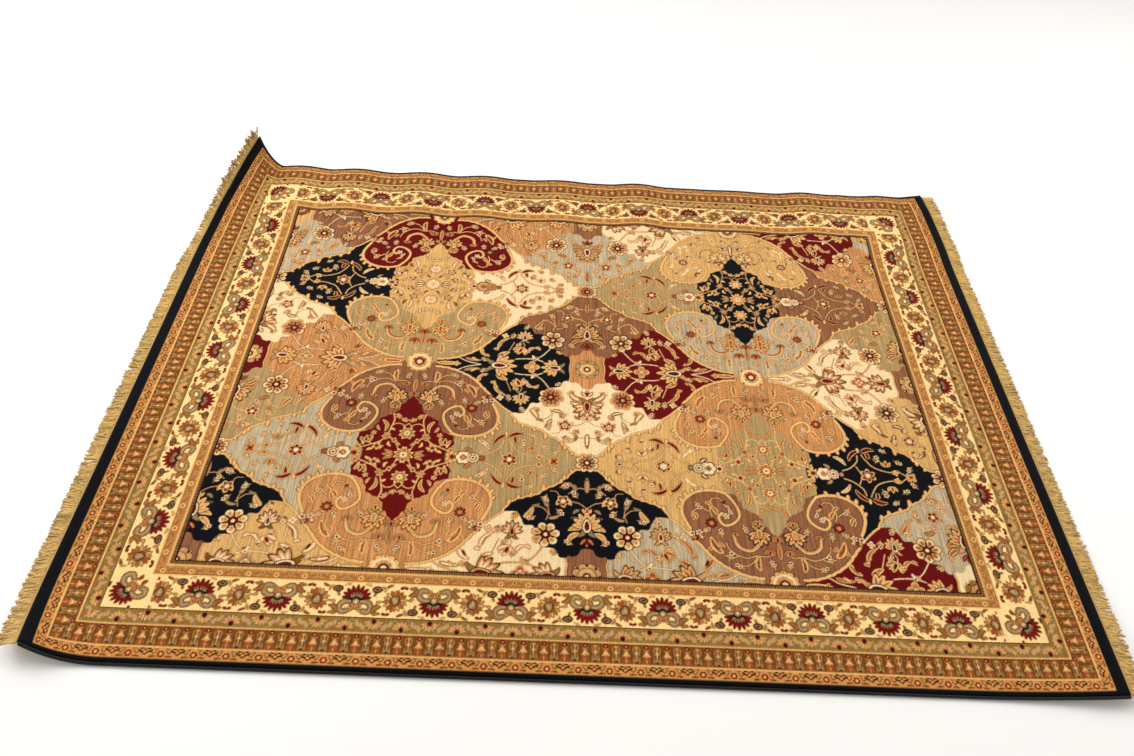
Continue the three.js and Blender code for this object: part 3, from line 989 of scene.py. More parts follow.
RING_STEM = ((9, 6), (14, 12), (20, 7), (26, 12))
RING_TOP_LEAVES = (
    # as in PALMETTE_LEAVES
    (7, 17, 16, 15, 2.2, 1, "rust", None),
)
RING_MIDDLE_LEAVES = (
    # as in PALMETTE_LEAVES
    (16, 4, 26, 9, 2.2, 1, "umber", None),
    (13, 17, 22, 18, 2.2, 0, "moss", None),
)
RING_LOW_LEAVES = (
    # as in PALMETTE_LEAVES
    (19, 2.5, 28, 2.5, 1.6, 0, "umber", None),
    (6, 2.6, 15, 3.6, 1.6, 0, "rust", None),
)


def ring_flower_repeat(pitch):
    draft = bare_repeat(RING_HALF, 21.5, pitch, "honey")
    for side in (-1, 1):
        mirrored_leaves(draft, side, RING_TOP_LEAVES)
        draft.stem(through([(side * x, y) for x, y in RING_STEM]), 2.2, NO["moss"])
        mirrored_leaves(draft, side, RING_MIDDLE_LEAVES)
        draft.star(side * RING_HALF, 9, 6.2, 4, 0, NO["maroon"], 0.4, 1.0)
        draft.disc(side * RING_HALF, 9, 2.0, NO["line"])
        mirrored_leaves(draft, side, RING_LOW_LEAVES)
    draft.star(0, 12, 7.0, 6, 0, NO["maroon"], 0.82)
    draft.disc(0, 12, 4.4, NO["rust"])
    draft.disc(0, 12, 2.4, NO["line"])
    return draft


DASH_LENGTH, DASHES_FROM, DASHES_TO = 2.3, 2.2, 9.5
PLAIN_BANDS = (
    # from, to, dye
    (-1.2, 2.2, "black"),
    (9.5, 12.5, "line"),
    (31.5, 34.5, "line"),
    (107.0, 108.5, "moss"),
    (137.5, 141.0, "line"),
    (181.0, 184.5, "line"),
    (206.0, 400.0, "navy"),
)
DRAWN_BANDS = (
    # from, to, repeat, spacing and shift on the long sides, spacing on the ends, shift left and right
    (12.5, 31.5, guard_repeat, 55.5, -7.0, 55.5, 0.0, 0.0),
    (34.5, 107.0, palmette_repeat, 151.3, 1.0, 163.6, 5.5, 5.5),
    (108.5, 137.5, starburst_repeat, 107.0, -36.5, 108.5, 43.6, -23.6),
    (141.0, 181.0, figure_repeat, 39.6, -2.6, 39.6, 0.0, 0.0),
    (184.5, 206.0, ring_flower_repeat, 59.5, -15.4, 59.0, 0.0, 0.0),
)
CORNER_REACH = 14.0
# The bands at the two ends are this much wider than those along the sides.
END_STRETCH = 1.022


def border_dyes(dyes, u, v, pitch):
    """Draws the bands over the dye numbers of the whole rug."""
    past_u, past_v = (np.abs(u) - FIELD_HALF_LENGTH) / END_STRETCH, np.abs(v) - FIELD_HALF_WIDTH
    out = np.maximum(past_u[None, :], past_v[:, None])
    long_side = past_v[:, None] > past_u[None, :]
    along = np.where(long_side, u[None, :], v[:, None])
    for low, high, name in PLAIN_BANDS:
        dyes[(out >= low) & (out < high)] = NO[name]
    dashes = (out >= DASHES_FROM) & (out < DASHES_TO)
    dyes[dashes] = np.where(np.floor(along[dashes] / DASH_LENGTH) % 2 == 0, NO["ochre"], NO["umber"])
    for low, high, make, side_spacing, side_shift, end_spacing, left_shift, right_shift in DRAWN_BANDS:
        here = (out >= low) & (out < high)
        draft = make(pitch)
        end_shift = np.where(u[None, :] < 0, left_shift, right_shift)
        shift = np.where(long_side, side_shift, end_shift)[here]
        place = (along[here] - shift) / np.where(long_side[here], side_spacing, end_spacing)
        number = np.round(place)
        y = out[here] - low
        if make is palmette_repeat:
            y = np.where(number % 2 == 0, y, high - low - y)
        dyes[here] = draft.read((place - number) * draft.nx * pitch, y)
        if make is palmette_repeat:
            x_in = np.broadcast_to(past_u[None, :] - low, out.shape)
            y_in = np.broadcast_to(past_v[:, None] - low, out.shape)
            corner = here & (np.minimum(x_in, y_in) > -CORNER_REACH)
            dyes[corner] = palmette_corner(pitch).read(x_in[corner], y_in[corner])


# Places drawn along each side of a mesh cell; two of them, each way, make one knot.
FINE = 4
YARN_SEED = 4
YARN_SWING, PALEST_YARN, DARKEST_YARN = 0.09, 1.4, 0.6
# How far the drawing has crept along and across in the middle of the rug, and over what reach.
CREEP = ((9.0, 1150.0), (5.0, 800.0))


def knotted(settings, across, along):
    """Linear colours of four knots in each cell of the pile, with the streak share in alpha."""
    u = WOVEN_HALF_LENGTH * ((np.arange(along * FINE) + 0.5) * 2 / (along * FINE) - 1)
    v = WOVEN_HALF_WIDTH * ((np.arange(across * FINE) + 0.5) * 2 / (across * FINE) - 1)
    pitch = u[1] - u[0]
    u, v = (line - far * bell(line / reach) for line, (far, reach) in zip((u, v), CREEP))
    dyes = field_dyes(u, v, pitch)
    border_dyes(dyes, u, v, pitch)
    yarn = [[*linear(getattr(settings, name)), STREAKS.get(name, PLAIN_STREAK)] for name in DYES]
    yarn = np.array(yarn, np.float32)
    knots = yarn[dyes[0::2, 0::2]] + yarn[dyes[1::2, 0::2]]
    knots = (knots + yarn[dyes[0::2, 1::2]] + yarn[dyes[1::2, 1::2]]) / 4
    chance = np.random.default_rng(YARN_SEED)
    tone = chance.normal(1.0, YARN_SWING, knots.shape[:2])
    knots[..., :3] *= np.clip(tone, DARKEST_YARN, PALEST_YARN)[..., None]
    return knots


# Meshes and node trees.

BAKE_MAP = "OFBake"
NODES_IN_ROW, NODE_STEP = 8, (220, -320)


def new_object(name, mesh, material=None):
    thing = bpy.data.objects.new(name, mesh)
    bpy.context.scene.collection.objects.link(thing)
    if material is not None:
        mesh.materials.append(material)
    return thing


def mesh_of(name, places, faces):
    mesh = bpy.data.meshes.new(name)
    mesh.from_pydata(np.reshape(places, (-1, 3)).tolist(), [], faces)
    mesh.validate()
    mesh.shade_smooth()
    return mesh


def grid_faces(rows, columns, first=0):
    """Quads of a grid of rows x columns points, facing up where rows run along +v and columns along +u."""
    at = first + np.arange(rows * columns).reshape(rows, columns)
    corners = (at[:-1, :-1], at[:-1, 1:], at[1:, 1:], at[1:, :-1])
    return np.stack([c.ravel() for c in corners], 1).tolist()


def new_node(tree, kind):
    """A node in the next free place of its tree's rows."""
    row, column = divmod(len(tree.nodes), NODES_IN_ROW)
    node = tree.nodes.new(kind)
    node.location = (column * NODE_STEP[0], row * NODE_STEP[1])
    return node


def feed(tree, socket, value):
    """Links an output to an input, or sets the input's value."""
    if isinstance(value, bpy.types.NodeSocket):
        tree.links.new(value, socket)
    else:
        socket.default_value = value


def add_node(tree, kind, settings=(), **values):
    """One node, with its settings and the values of its named inputs."""
    node = new_node(tree, kind)
    for name, value in dict(settings).items():
        setattr(node, name, value)
    for name, value in values.items():
        feed(tree, node.inputs[name.replace("_", " ")], value)
    return node


def numbered(tree, kind, operation, *values):
    """The output of a maths node, with the values of its inputs in order."""
    node = add_node(tree, kind, {"operation": operation})
    for socket, value in zip(node.inputs, values):
        feed(tree, socket, value)
    return node.outputs[0]


def maths(tree, operation, *values):
    return numbered(tree, "ShaderNodeMath", operation, *values)


def new_material(name, **surface):
    """A material with its Principled shader set, and its node tree."""
    material = bpy.data.materials.new(name)
    material.use_nodes = True
    shader = material.node_tree.nodes["Principled BSDF"]
    for key, value in surface.items():
        shader.inputs[key.replace("_", " ")].default_value = value
    return material, material.node_tree, shader


def noise(tree, vector, scale, detail=2.0, roughness=0.5):
    node = add_node(
        tree, "ShaderNodeTexNoise", Vector=vector, Scale=scale, Detail=detail, Roughness=roughness
    )
    return node.outputs["Fac"]


def stretched(tree, vector, scale):
    return add_node(tree, "ShaderNodeMapping", Vector=vector, Scale=scale).outputs["Vector"]


def swing(tree, value, amount):
    """1 plus or minus half the amount, from a value between 0 and 1."""
    return maths(tree, "MULTIPLY_ADD", value, amount, 1.0 - amount / 2)


def scaled(tree, vector, factor):
    node = add_node(tree, "ShaderNodeVectorMath", {"operation": "SCALE"}, Scale=factor)
    tree.links.new(vector, node.inputs[0])
    return node.outputs[0]


def object_places(tree):
    return add_node(tree, "ShaderNodeTexCoord").outputs["Object"]


def plain_colour(tree, colour):
    node = add_node(tree, "ShaderNodeRGB")
    node.outputs[0].default_value = shade(colour)
    return node.outputs[0]


def coloured(tree, shader, colour, factor):
    """Gives a shader a colour that a factor makes darker or paler."""
    tree.links.new(scaled(tree, colour, factor), shader.inputs["Base Color"])


def bumped(tree, shader, height, strength, distance):
    node = add_node(tree, "ShaderNodeBump", Height=height, Strength=strength, Distance=distance)
    tree.links.new(node.outputs["Normal"], shader.inputs["Normal"])


STREAK_STRETCH, STREAK_STRENGTH = (330, 10, 10), 2.3
TUFT_SCALE, TUFT_SWING = 520.0, 0.42
# Broad blotches in the pile's colour: partly wear, partly painted sheen where the lay of the pile catches
# the light.
WEAR_AND_SHEEN_SCALE, WEAR_AND_SHEEN_SWING = 2.6, 0.26
KNOT_SCALE, KNOT_DEPTH = 430.0, 0.8
WEAVE_SCALE, WEAVE_BEND, WEAVE_SWING = 105.0, 0.6, 0.4
SLUB_STRETCH, SLUB_SWING = (9, 240, 9), 0.5
FIBRE_SWING = 0.5


def pile_material():
    """Cut wool pile: dyed yarn with streaks, single tufts and soft sheen, with broad blotches of wear and
    painted sheen in its colour.
    """
    material, tree, shader = new_material(
        "cut_pile", Roughness=0.95, Sheen_Weight=0.05, Sheen_Roughness=0.5, Specular_IOR_Level=0.05
    )
    where = object_places(tree)
    yarn = add_node(tree, "ShaderNodeAttribute", {"attribute_name": "dye"})
    streak = noise(tree, stretched(tree, where, STREAK_STRETCH), 1.0, detail=3.0, roughness=0.65)
    streak = maths(tree, "SUBTRACT", streak, 0.5)
    streak = maths(tree, "MULTIPLY", streak, yarn.outputs["Alpha"])
    streak = maths(tree, "MULTIPLY_ADD", streak, STREAK_STRENGTH, 1.0)
    tuft = noise(tree, where, TUFT_SCALE, roughness=0.6)
    # Wear and painted sheen: broad paler and darker blotches multiplied into the yarn colour, standing in
    # for the pile's lay catching the light as well as for wear.
    wear_and_sheen = noise(tree, where, WEAR_AND_SHEEN_SCALE, detail=3.0, roughness=0.55)
    factor = maths(tree, "MULTIPLY", streak, swing(tree, tuft, TUFT_SWING))
    factor = maths(tree, "MULTIPLY", factor, swing(tree, wear_and_sheen, WEAR_AND_SHEEN_SWING))
    coloured(tree, shader, yarn.outputs["Color"], factor)
    knots = add_node(tree, "ShaderNodeTexVoronoi", Vector=where, Scale=KNOT_SCALE).outputs["Distance"]
    height = maths(tree, "MULTIPLY_ADD", knots, -KNOT_DEPTH, tuft)
    bumped(tree, shader, height, strength=0.55, distance=0.0012)
    return material


def backing_material(dyes):
    """Plain woven ground: warp and weft in two tones."""
    material, tree, shader = new_material("woven_backing", Roughness=0.95, Sheen_Weight=0.1)
    where = object_places(tree)
    waves = []
    for axis in ("X", "Y"):
        settings = {"bands_direction": axis}
        node = add_node(
            tree, "ShaderNodeTexWave", settings, Vector=where, Scale=WEAVE_SCALE, Distortion=WEAVE_BEND
        )
        waves.append(node.outputs["Fac"])
    weave = maths(tree, "MULTIPLY", *waves)
    slub = noise(tree, stretched(tree, where, SLUB_STRETCH), 1.0, detail=3.0)
    factor = maths(tree, "MULTIPLY", swing(tree, weave, WEAVE_SWING), swing(tree, slub, SLUB_SWING))
    coloured(tree, shader, plain_colour(tree, dyes.backing), factor)
    bumped(tree, shader, weave, strength=0.5, distance=0.0008)
    return material


def yarn_material(name, colour, tone_amount, twist_scale, sheen):
    """Loose or wrapped yarn: each thread has a tone of its own, with fine twisted fibres."""
    material, tree, shader = new_material(name, Roughness=0.88, Sheen_Weight=sheen, Specular_IOR_Level=0.2)
    where = object_places(tree)
    tone = add_node(tree, "ShaderNodeAttribute", {"attribute_name": "tone"}).outputs["Fac"]
    fibre = noise(tree, where, twist_scale, detail=3.0, roughness=0.6)
    factor = maths(tree, "MULTIPLY", swing(tree, tone, tone_amount), swing(tree, fibre, FIBRE_SWING))
    coloured(tree, shader, plain_colour(tree, colour), factor)
    bumped(tree, shader, fibre, strength=0.5, distance=0.0006)
    return material


def repeat_tree(name, **inputs):
    """A geometry tree with a Geometry input and output, and named inputs for its sizes."""
    tree = bpy.data.node_groups.new(name, "GeometryNodeTree")
    tree.interface.new_socket("Geometry", in_out="INPUT", socket_type="NodeSocketGeometry")
    for key, kind in inputs.items():
        tree.interface.new_socket(key.replace("_", " "), in_out="INPUT", socket_type=kind)
    tree.interface.new_socket("Geometry", in_out="OUTPUT", socket_type="NodeSocketGeometry")
    return tree, new_node(tree, "NodeGroupInput").outputs, new_node(tree, "NodeGroupOutput").inputs


def made(tree, kind, settings=(), **values):
    """The first output of a new node."""
    return add_node(tree, kind, settings, **values).outputs[0]


def named(tree, name, kind="FLOAT"):
    node = add_node(tree, "GeometryNodeInputNamedAttribute", {"data_type": kind}, Name=name)
    return next(s for s in node.outputs if s.enabled and s.name == "Attribute")


def stored(tree, geometry, domain, name, value):
    """The geometry with a value kept under a name."""
    settings = {"data_type": "FLOAT", "domain": domain}
    kind = "GeometryNodeStoreNamedAttribute"
    return made(tree, kind, settings, Geometry=geometry, Name=name, Value=value)


def roots_and_rest(tree, geometry):
    """Splits a mesh into its loose root points and the rest."""
    kind = "GeometryNodeSeparateGeometry"
    node = add_node(tree, kind, Geometry=geometry, Selection=named(tree, "root"))
    points = made(tree, "GeometryNodeMeshToPoints", Mesh=node.outputs["Selection"])
    return points, node.outputs["Inverted"]


def turned(tree):
    """Turns an instance so that its X follows the point's aim and its Z the point's up."""
    kind = "FunctionNodeAlignRotationToVector"
    aimed = made(tree, kind, {"axis": "X"}, Vector=named(tree, "aim", "FLOAT_VECTOR"))
    up = named(tree, "up", "FLOAT_VECTOR")
    return made(tree, kind, {"axis": "Z", "pivot_axis": "X"}, Rotation=aimed, Vector=up)


def toned(tree, instances, seed):
    """Gives each instance a tone of its own."""
    chance = add_node(tree, "FunctionNodeRandomValue", {"data_type": "FLOAT"})
    tree.links.new(seed, chance.inputs["Seed"])
    return stored(tree, instances, "INSTANCE", "tone", chance.outputs[1])


def repeated(tree, points, instance, seed, **values):
    """Real copies of a strand or stitch at the root points, each with a tone of its own."""
    kind = "GeometryNodeInstanceOnPoints"
    placed = made(tree, kind, Points=points, Instance=instance, Rotation=turned(tree), **values)
    return made(tree, "GeometryNodeRealizeInstances", Geometry=toned(tree, placed, seed))


def finished(tree, out, strands, rest, material):
    joined = new_node(tree, "GeometryNodeJoinGeometry")
    for part in (rest, strands):
        tree.links.new(part, joined.inputs[0])
    dressed = made(tree, "GeometryNodeSetMaterial", Geometry=joined.outputs[0], Material=material)
    tree.links.new(dressed, out[0])


FLOOR_CLEAR = 0.0002
STRAND_POINTS, STRAND_SIDES = 5, 4
STITCH_POINTS, STITCH_SIDES = 7, 3
STITCH_TURN = (1.5708, 0.0, 1.3)
TAPER_POWER, STRAY_POWER = 2.0, 1.5
TUMBLE_SCALE, TUMBLE_TONE, TUMBLE_MIDDLE = 95.0, 0.9, (0.5, 0.5, 0.42)


def fringe_tree():
    """Strands that taper from their roots on a tape and stray towards their tips."""
    tree, ins, out = repeat_tree(
        "fringe_strands", Radius="NodeSocketFloat", Tip_share="NodeSocketFloat", Sway="NodeSocketFloat",
        Seed="NodeSocketInt", Material="NodeSocketMaterial",
    )
    points, tape = roots_and_rest(tree, ins["Geometry"])
    line = made(tree, "GeometryNodeCurvePrimitiveLine", End=(1.0, 0.0, 0.0))
    line = made(tree, "GeometryNodeResampleCurve", Curve=line, Count=STRAND_POINTS)
    along = add_node(tree, "GeometryNodeSplineParameter").outputs["Factor"]
    line = stored(tree, line, "POINT", "along", along)
    loss = maths(tree, "SUBTRACT", 1.0, ins["Tip share"])
    loss = maths(tree, "MULTIPLY", maths(tree, "POWER", along, TAPER_POWER), loss)
    taper = maths(tree, "MULTIPLY", maths(tree, "SUBTRACT", 1.0, loss), ins["Radius"])
    section = made(tree, "GeometryNodeCurvePrimitiveCircle", Resolution=STRAND_SIDES, Radius=1.0)
    kind = "GeometryNodeCurveToMesh"
    strand = made(tree, kind, Curve=line, Profile_Curve=section, Scale=taper, Fill_Caps=True)
    reach = made(tree, "ShaderNodeCombineXYZ", X=named(tree, "reach"), Y=1.0, Z=1.0)
    real = repeated(tree, points, strand, ins["Seed"], Scale=reach)
    ruffle = maths(tree, "MULTIPLY", ins["Sway"], named(tree, "ruffle"))
    far = maths(tree, "MULTIPLY", maths(tree, "POWER", named(tree, "along"), STRAY_POWER), ruffle)
    turn = maths(tree, "MULTIPLY", named(tree, "tone"), TUMBLE_TONE)
    kind, settings = "ShaderNodeTexNoise", {"noise_dimensions": "4D"}
    tumble = add_node(tree, kind, settings, Scale=TUMBLE_SCALE, Detail=1.0, W=turn).outputs["Color"]
    centred = numbered(tree, "ShaderNodeVectorMath", "SUBTRACT", tumble, TUMBLE_MIDDLE)
    stray = scaled(tree, centred, far)
    moved = made(tree, "GeometryNodeSetPosition", Geometry=real, Offset=stray)
    place = made(tree, "GeometryNodeInputPosition")
    x, y, z = add_node(tree, "ShaderNodeSeparateXYZ", Vector=place).outputs
    rested = made(tree, "ShaderNodeCombineXYZ", X=x, Y=y, Z=maths(tree, "MAXIMUM", z, FLOOR_CLEAR))
    moved = made(tree, "GeometryNodeSetPosition", Geometry=moved, Position=rested)
    finished(tree, out, moved, tape, ins["Material"])
    return tree


def overcast_tree():
    """Stitches wrapped round the edge cord, each a slanted loop."""
    tree, ins, out = repeat_tree(
        "overcast_stitches", Half_width="NodeSocketFloat", Half_height="NodeSocketFloat",
        Thickness="NodeSocketFloat", Seed="NodeSocketInt", Material="NodeSocketMaterial",
    )
    points, cord = roots_and_rest(tree, ins["Geometry"])
    circle = "GeometryNodeCurvePrimitiveCircle"
    loop = made(tree, circle, Resolution=STITCH_POINTS, Radius=1.0)
    wide = made(tree, "ShaderNodeCombineXYZ", X=ins["Half width"], Y=ins["Half height"], Z=1.0)
    loop = made(tree, "GeometryNodeTransform", Geometry=loop, Rotation=STITCH_TURN, Scale=wide)
    section = made(tree, circle, Resolution=STITCH_SIDES, Radius=ins["Thickness"])
    stitch = made(tree, "GeometryNodeCurveToMesh", Curve=loop, Profile_Curve=section)
    real = repeated(tree, points, stitch, ins["Seed"])
    finished(tree, out, real, cord, ins["Material"])
    return tree


def grown(thing, tree, **values):
    """Runs a geometry tree on an object and keeps the result as its plain mesh."""
    modifier = thing.modifiers.new("grown", "NODES")
    modifier.node_group = tree
    sockets = {s.name: s.identifier for s in tree.interface.items_tree if s.in_out == "INPUT"}
    for key, value in values.items():
        modifier[sockets[key.replace("_", " ")]] = value
    scene = bpy.context.evaluated_depsgraph_get()
    result = thing.evaluated_get(scene)
    mesh = bpy.data.meshes.new_from_object(result, preserve_all_data_layers=True, depsgraph=scene)
    thing.modifiers.remove(modifier)
    thing.data = mesh
    mesh.shade_smooth()


def put(mesh, name, kind, values, domain="POINT"):
    """Stores one value for each point, or each face corner, of a mesh."""
    layer = mesh.attributes.new(name, kind, domain)
    field = {"FLOAT": "value", "FLOAT_VECTOR": "vector", "FLOAT_COLOR": "color"}[kind]
    layer.data.foreach_set(field, np.asarray(values, np.float32).ravel())


def worn(piece, node):
    """Ties a finished piece to the frame."""
    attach(piece, "root")
    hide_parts(node)


# Pieces.

PILE_ROLL = 7.0
PILE_SKIRT = 1.6
BACKING_INSET = 1.0
BACKING_HEIGHT = 6.5
BACKING_CELLS = (96, 64)
TUFT_SEED = 11
CORD_RINGS, CORD_SIDES, CORD_INSET = 260, 8, 0.5
STITCH_INSET, STITCH_SEED = 2.0, 3
TAPE_RINGS, TAPE_FLOOR, TAPE_BEVEL = 200, 0.2, (2.0, 1.0)
# Where the left fringe's strands get shorter towards the lifted back corner, and to what share.
SHORT_FROM, SHORT_REACH, SHORT_SHARE = 330.0, 80.0, 0.72
# Heights, in metres, between which a strand's ruffle grows to its most.
RUFFLE_LIFT, LIFTED_RUFFLE = (0.01, 0.07), 2.0
FRINGE_LEAN, LEAN_SPREAD = -5.0, 7.0
STRAND_SCATTER, STRAND_SHARES = 0.4, (0.78, 1.06)
ROOT_LEVELS, ROOT_DEPTH = (1.4, 2.6), 2.5
TIP_LEVEL, TIP_SHARE = 1.3, 0.72


def pile_strip(sizes, knots, number, material):
    """One strip of the pile, rolled down over the rug's own edges."""
    rows, columns = sizes.cells_across + 1, sizes.cells_along + 1
    first = number * sizes.cells_across
    u = np.linspace(-WOVEN_HALF_LENGTH, WOVEN_HALF_LENGTH, columns)
    v = WOVEN_HALF_WIDTH * (2 * (first + np.arange(rows)) / (sizes.cells_across * sizes.strips) - 1)
    u, v = np.meshgrid(u, v)
    inward = ease(np.minimum(WOVEN_HALF_LENGTH - np.abs(u), WOVEN_HALF_WIDTH - np.abs(v)) / PILE_ROLL)
    chance = np.random.default_rng(TUFT_SEED)
    cut = chance.normal(0.0, sizes.tuft_spread / MM, (sizes.cells_across * sizes.strips + 1, columns))
    rise = sizes.pile_height / MM - RUG_EDGE_THICKNESS + cut[first : first + rows]
    w = RUG_EDGE_THICKNESS + inward * rise
    at = np.arange(rows * columns).reshape(rows, columns)
    rims = [np.s_[::-1, 0], np.s_[:, -1]]
    rims += [np.s_[0, :]] if number == 0 else []
    rims += [np.s_[-1, ::-1]] if number == sizes.strips - 1 else []
    faces = grid_faces(rows, columns)
    places = [settle(u, v, w).reshape(-1, 3)]
    flat = [np.stack([u, v], -1).reshape(-1, 2)]
    count = rows * columns
    for rim in rims:
        high, low = at[rim], count + np.arange(len(at[rim]))
        faces += np.stack([high[:-1], low[:-1], low[1:], high[1:]], 1).tolist()
        places.append(settle(u[rim], v[rim], PILE_SKIRT))
        flat.append(np.stack([u[rim], v[rim]], -1))
        count += len(high)
    mesh = mesh_of(f"pile_{number + 1}", np.vstack(places), faces)
    here = knots[2 * first : 2 * (first + rows - 1)]
    corners = (here[0::2, 0::2], here[0::2, 1::2], here[1::2, 1::2], here[1::2, 0::2])
    corners = np.stack(corners, 2).reshape(-1, 4)
    skirt = np.broadcast_to(knots[0, 0], (len(mesh.loops) - len(corners), 4))
    put(mesh, "dye", "FLOAT_COLOR", np.vstack([corners, skirt]), "CORNER")
    flat = np.vstack(flat)
    spread = (flat - flat.min(0)) / np.ptp(flat, axis=0)
    corner = np.empty(len(mesh.loops), np.int32)
    mesh.loops.foreach_get("vertex_index", corner)
    mesh.uv_layers.new(name=BAKE_MAP).data.foreach_set("uv", spread[corner].astype(np.float32).ravel())
    worn(new_object(mesh.name, mesh, material), "rug")


class RUG_OT_pile(bpy.types.Operator):
    """Makes the knotted pile, in strips"""

    bl_idname = "rug.pile"
    bl_label = "Pile"

    def execute(self, context):
        sizes = context.scene.rug_sizes
        knots = knotted(context.scene.rug_dyes, sizes.cells_across * sizes.strips, sizes.cells_along)
        material = pile_material()
        for number in range(sizes.strips):
            pile_strip(sizes, knots, number, material)
        return {"FINISHED"}


class RUG_OT_backing(bpy.types.Operator):
    """Makes the woven backing under the pile"""

    bl_idname = "rug.backing"
    bl_label = "Backing"

    def execute(self, context):
        columns, rows = BACKING_CELLS[0] + 1, BACKING_CELLS[1] + 1
        u, v = np.meshgrid(
            np.linspace(-1, 1, columns) * (WOVEN_HALF_LENGTH - BACKING_INSET),
            np.linspace(-1, 1, rows) * (WOVEN_HALF_WIDTH - BACKING_INSET),
        )
        places = np.vstack([settle(u, v, w).reshape(-1, 3) for w in (BACKING_HEIGHT, 0.0)])
        count = rows * columns
        at = np.arange(count).reshape(rows, columns)
        faces = grid_faces(rows, columns) + [f[::-1] for f in grid_faces(rows, columns, count)]
        rim = np.concatenate([at[0, :-1], at[:-1, -1], at[-1, :0:-1], at[:0:-1, 0]])
        faces += np.stack([rim, rim + count, np.roll(rim, -1) + count, np.roll(rim, -1)], 1).tolist()
        mesh = mesh_of("backing", places, faces)
        piece = new_object("backing", mesh, backing_material(context.scene.rug_dyes))
        worn(piece, "rug")
        return {"FINISHED"}


def rod_faces(rings, sides):
    """Faces between rings of points, with closed ends."""
    at = np.arange(rings * sides).reshape(rings, sides)
    after = np.roll(at, -1, axis=1)
    quads = np.stack([at[:-1], after[:-1], after[1:], at[1:]], -1).reshape(-1, 4)
    return quads.tolist() + [at[0, ::-1].tolist(), at[-1].tolist()]


def cord_places(u, v, half_width, half_height):
    """Places of the rings round the cord of a binding that runs along u at v."""
    turn = np.arange(CORD_SIDES) * math.tau / CORD_SIDES
    across = v + half_width * np.cos(turn)[None, :]
    height = BINDING_HEIGHT / 2 + half_height * np.sin(turn)[None, :]
    return settle(u[:, None], across, height).reshape(-1, 3)


def tape_places(side, inner, outer):
    """Places of the rings along a fringe's tape, and its faces."""
    line = np.linspace(-1, 1, TAPE_RINGS) * WOVEN_HALF_WIDTH
    section = (
        (inner, TAPE_FLOOR), (outer, TAPE_FLOOR), (outer, TAPE_THICKNESS - TAPE_BEVEL[1]),
        (outer - TAPE_BEVEL[0], TAPE_THICKNESS), (inner, TAPE_THICKNESS),
    )
    places = np.stack([settle(side * u, line, w) for u, w in section], 1)
    faces = rod_faces(TAPE_RINGS, len(section))
    if side > 0:
        faces = [f[::-1] for f in faces]
    return places.reshape(-1, 3), faces


def with_roots(name, places, faces, roots, aims, ups, **more):
    """A mesh and loose root points, each with the way its strand or stitch is to go."""
    mesh = mesh_of(name, np.vstack([places, roots]), faces)
    plain = len(places)
    put(mesh, "root", "FLOAT", np.r_[np.zeros(plain), np.ones(len(roots))])
    put(mesh, "aim", "FLOAT_VECTOR", np.vstack([np.zeros((plain, 3)), aims]))
    put(mesh, "up", "FLOAT_VECTOR", np.vstack([np.zeros((plain, 3)), ups]))
    put(mesh, "tone", "FLOAT", np.full(plain + len(roots), 0.5))
    for key, values in more.items():
        put(mesh, key, "FLOAT", np.r_[np.zeros(plain), values])
    return new_object(name, mesh)


class RUG_OT_bindings(bpy.types.Operator):
    """Makes the overcast cords along both long sides"""

    bl_idname = "rug.bindings"
    bl_label = "Overcast sides"

    def execute(self, context):
        sizes = context.scene.rug_sizes
        colour = context.scene.rug_dyes.binding
        material = yarn_material("overcast_yarn", colour, tone_amount=0.5, twist_scale=700.0, sheen=0.15)
        tree = overcast_tree()
        thick = sizes.stitch_thickness / MM
        half_width, half_height = BINDING_WIDTH / 2 - thick, BINDING_HEIGHT / 2 - thick
        for name, side in (("binding_front", -1), ("binding_back", 1)):
            middle = side * (WOVEN_HALF_WIDTH + SEAM_GAP + BINDING_WIDTH / 2)
            line = np.linspace(-1, 1, CORD_RINGS) * (WOVEN_HALF_LENGTH - CORD_INSET)
            places = cord_places(line, middle, half_width, half_height)
            u = np.linspace(-1, 1, sizes.stitches) * (WOVEN_HALF_LENGTH - STITCH_INSET)
            v = np.full(len(u), middle)
            before, roots, after = (settle(u + step, v, BINDING_HEIGHT / 2) for step in (-1, 0, 1))
            faces = rod_faces(CORD_RINGS, CORD_SIDES)
            piece = with_roots(name + "_yarn", places, faces, roots, after - before, up_from(u, v))
            grown(
                piece, tree, Half_width=half_width * MM, Half_height=half_height * MM,
                Thickness=sizes.stitch_thickness, Seed=STITCH_SEED, Material=material,
            )
            worn(piece, name)
        return {"FINISHED"}


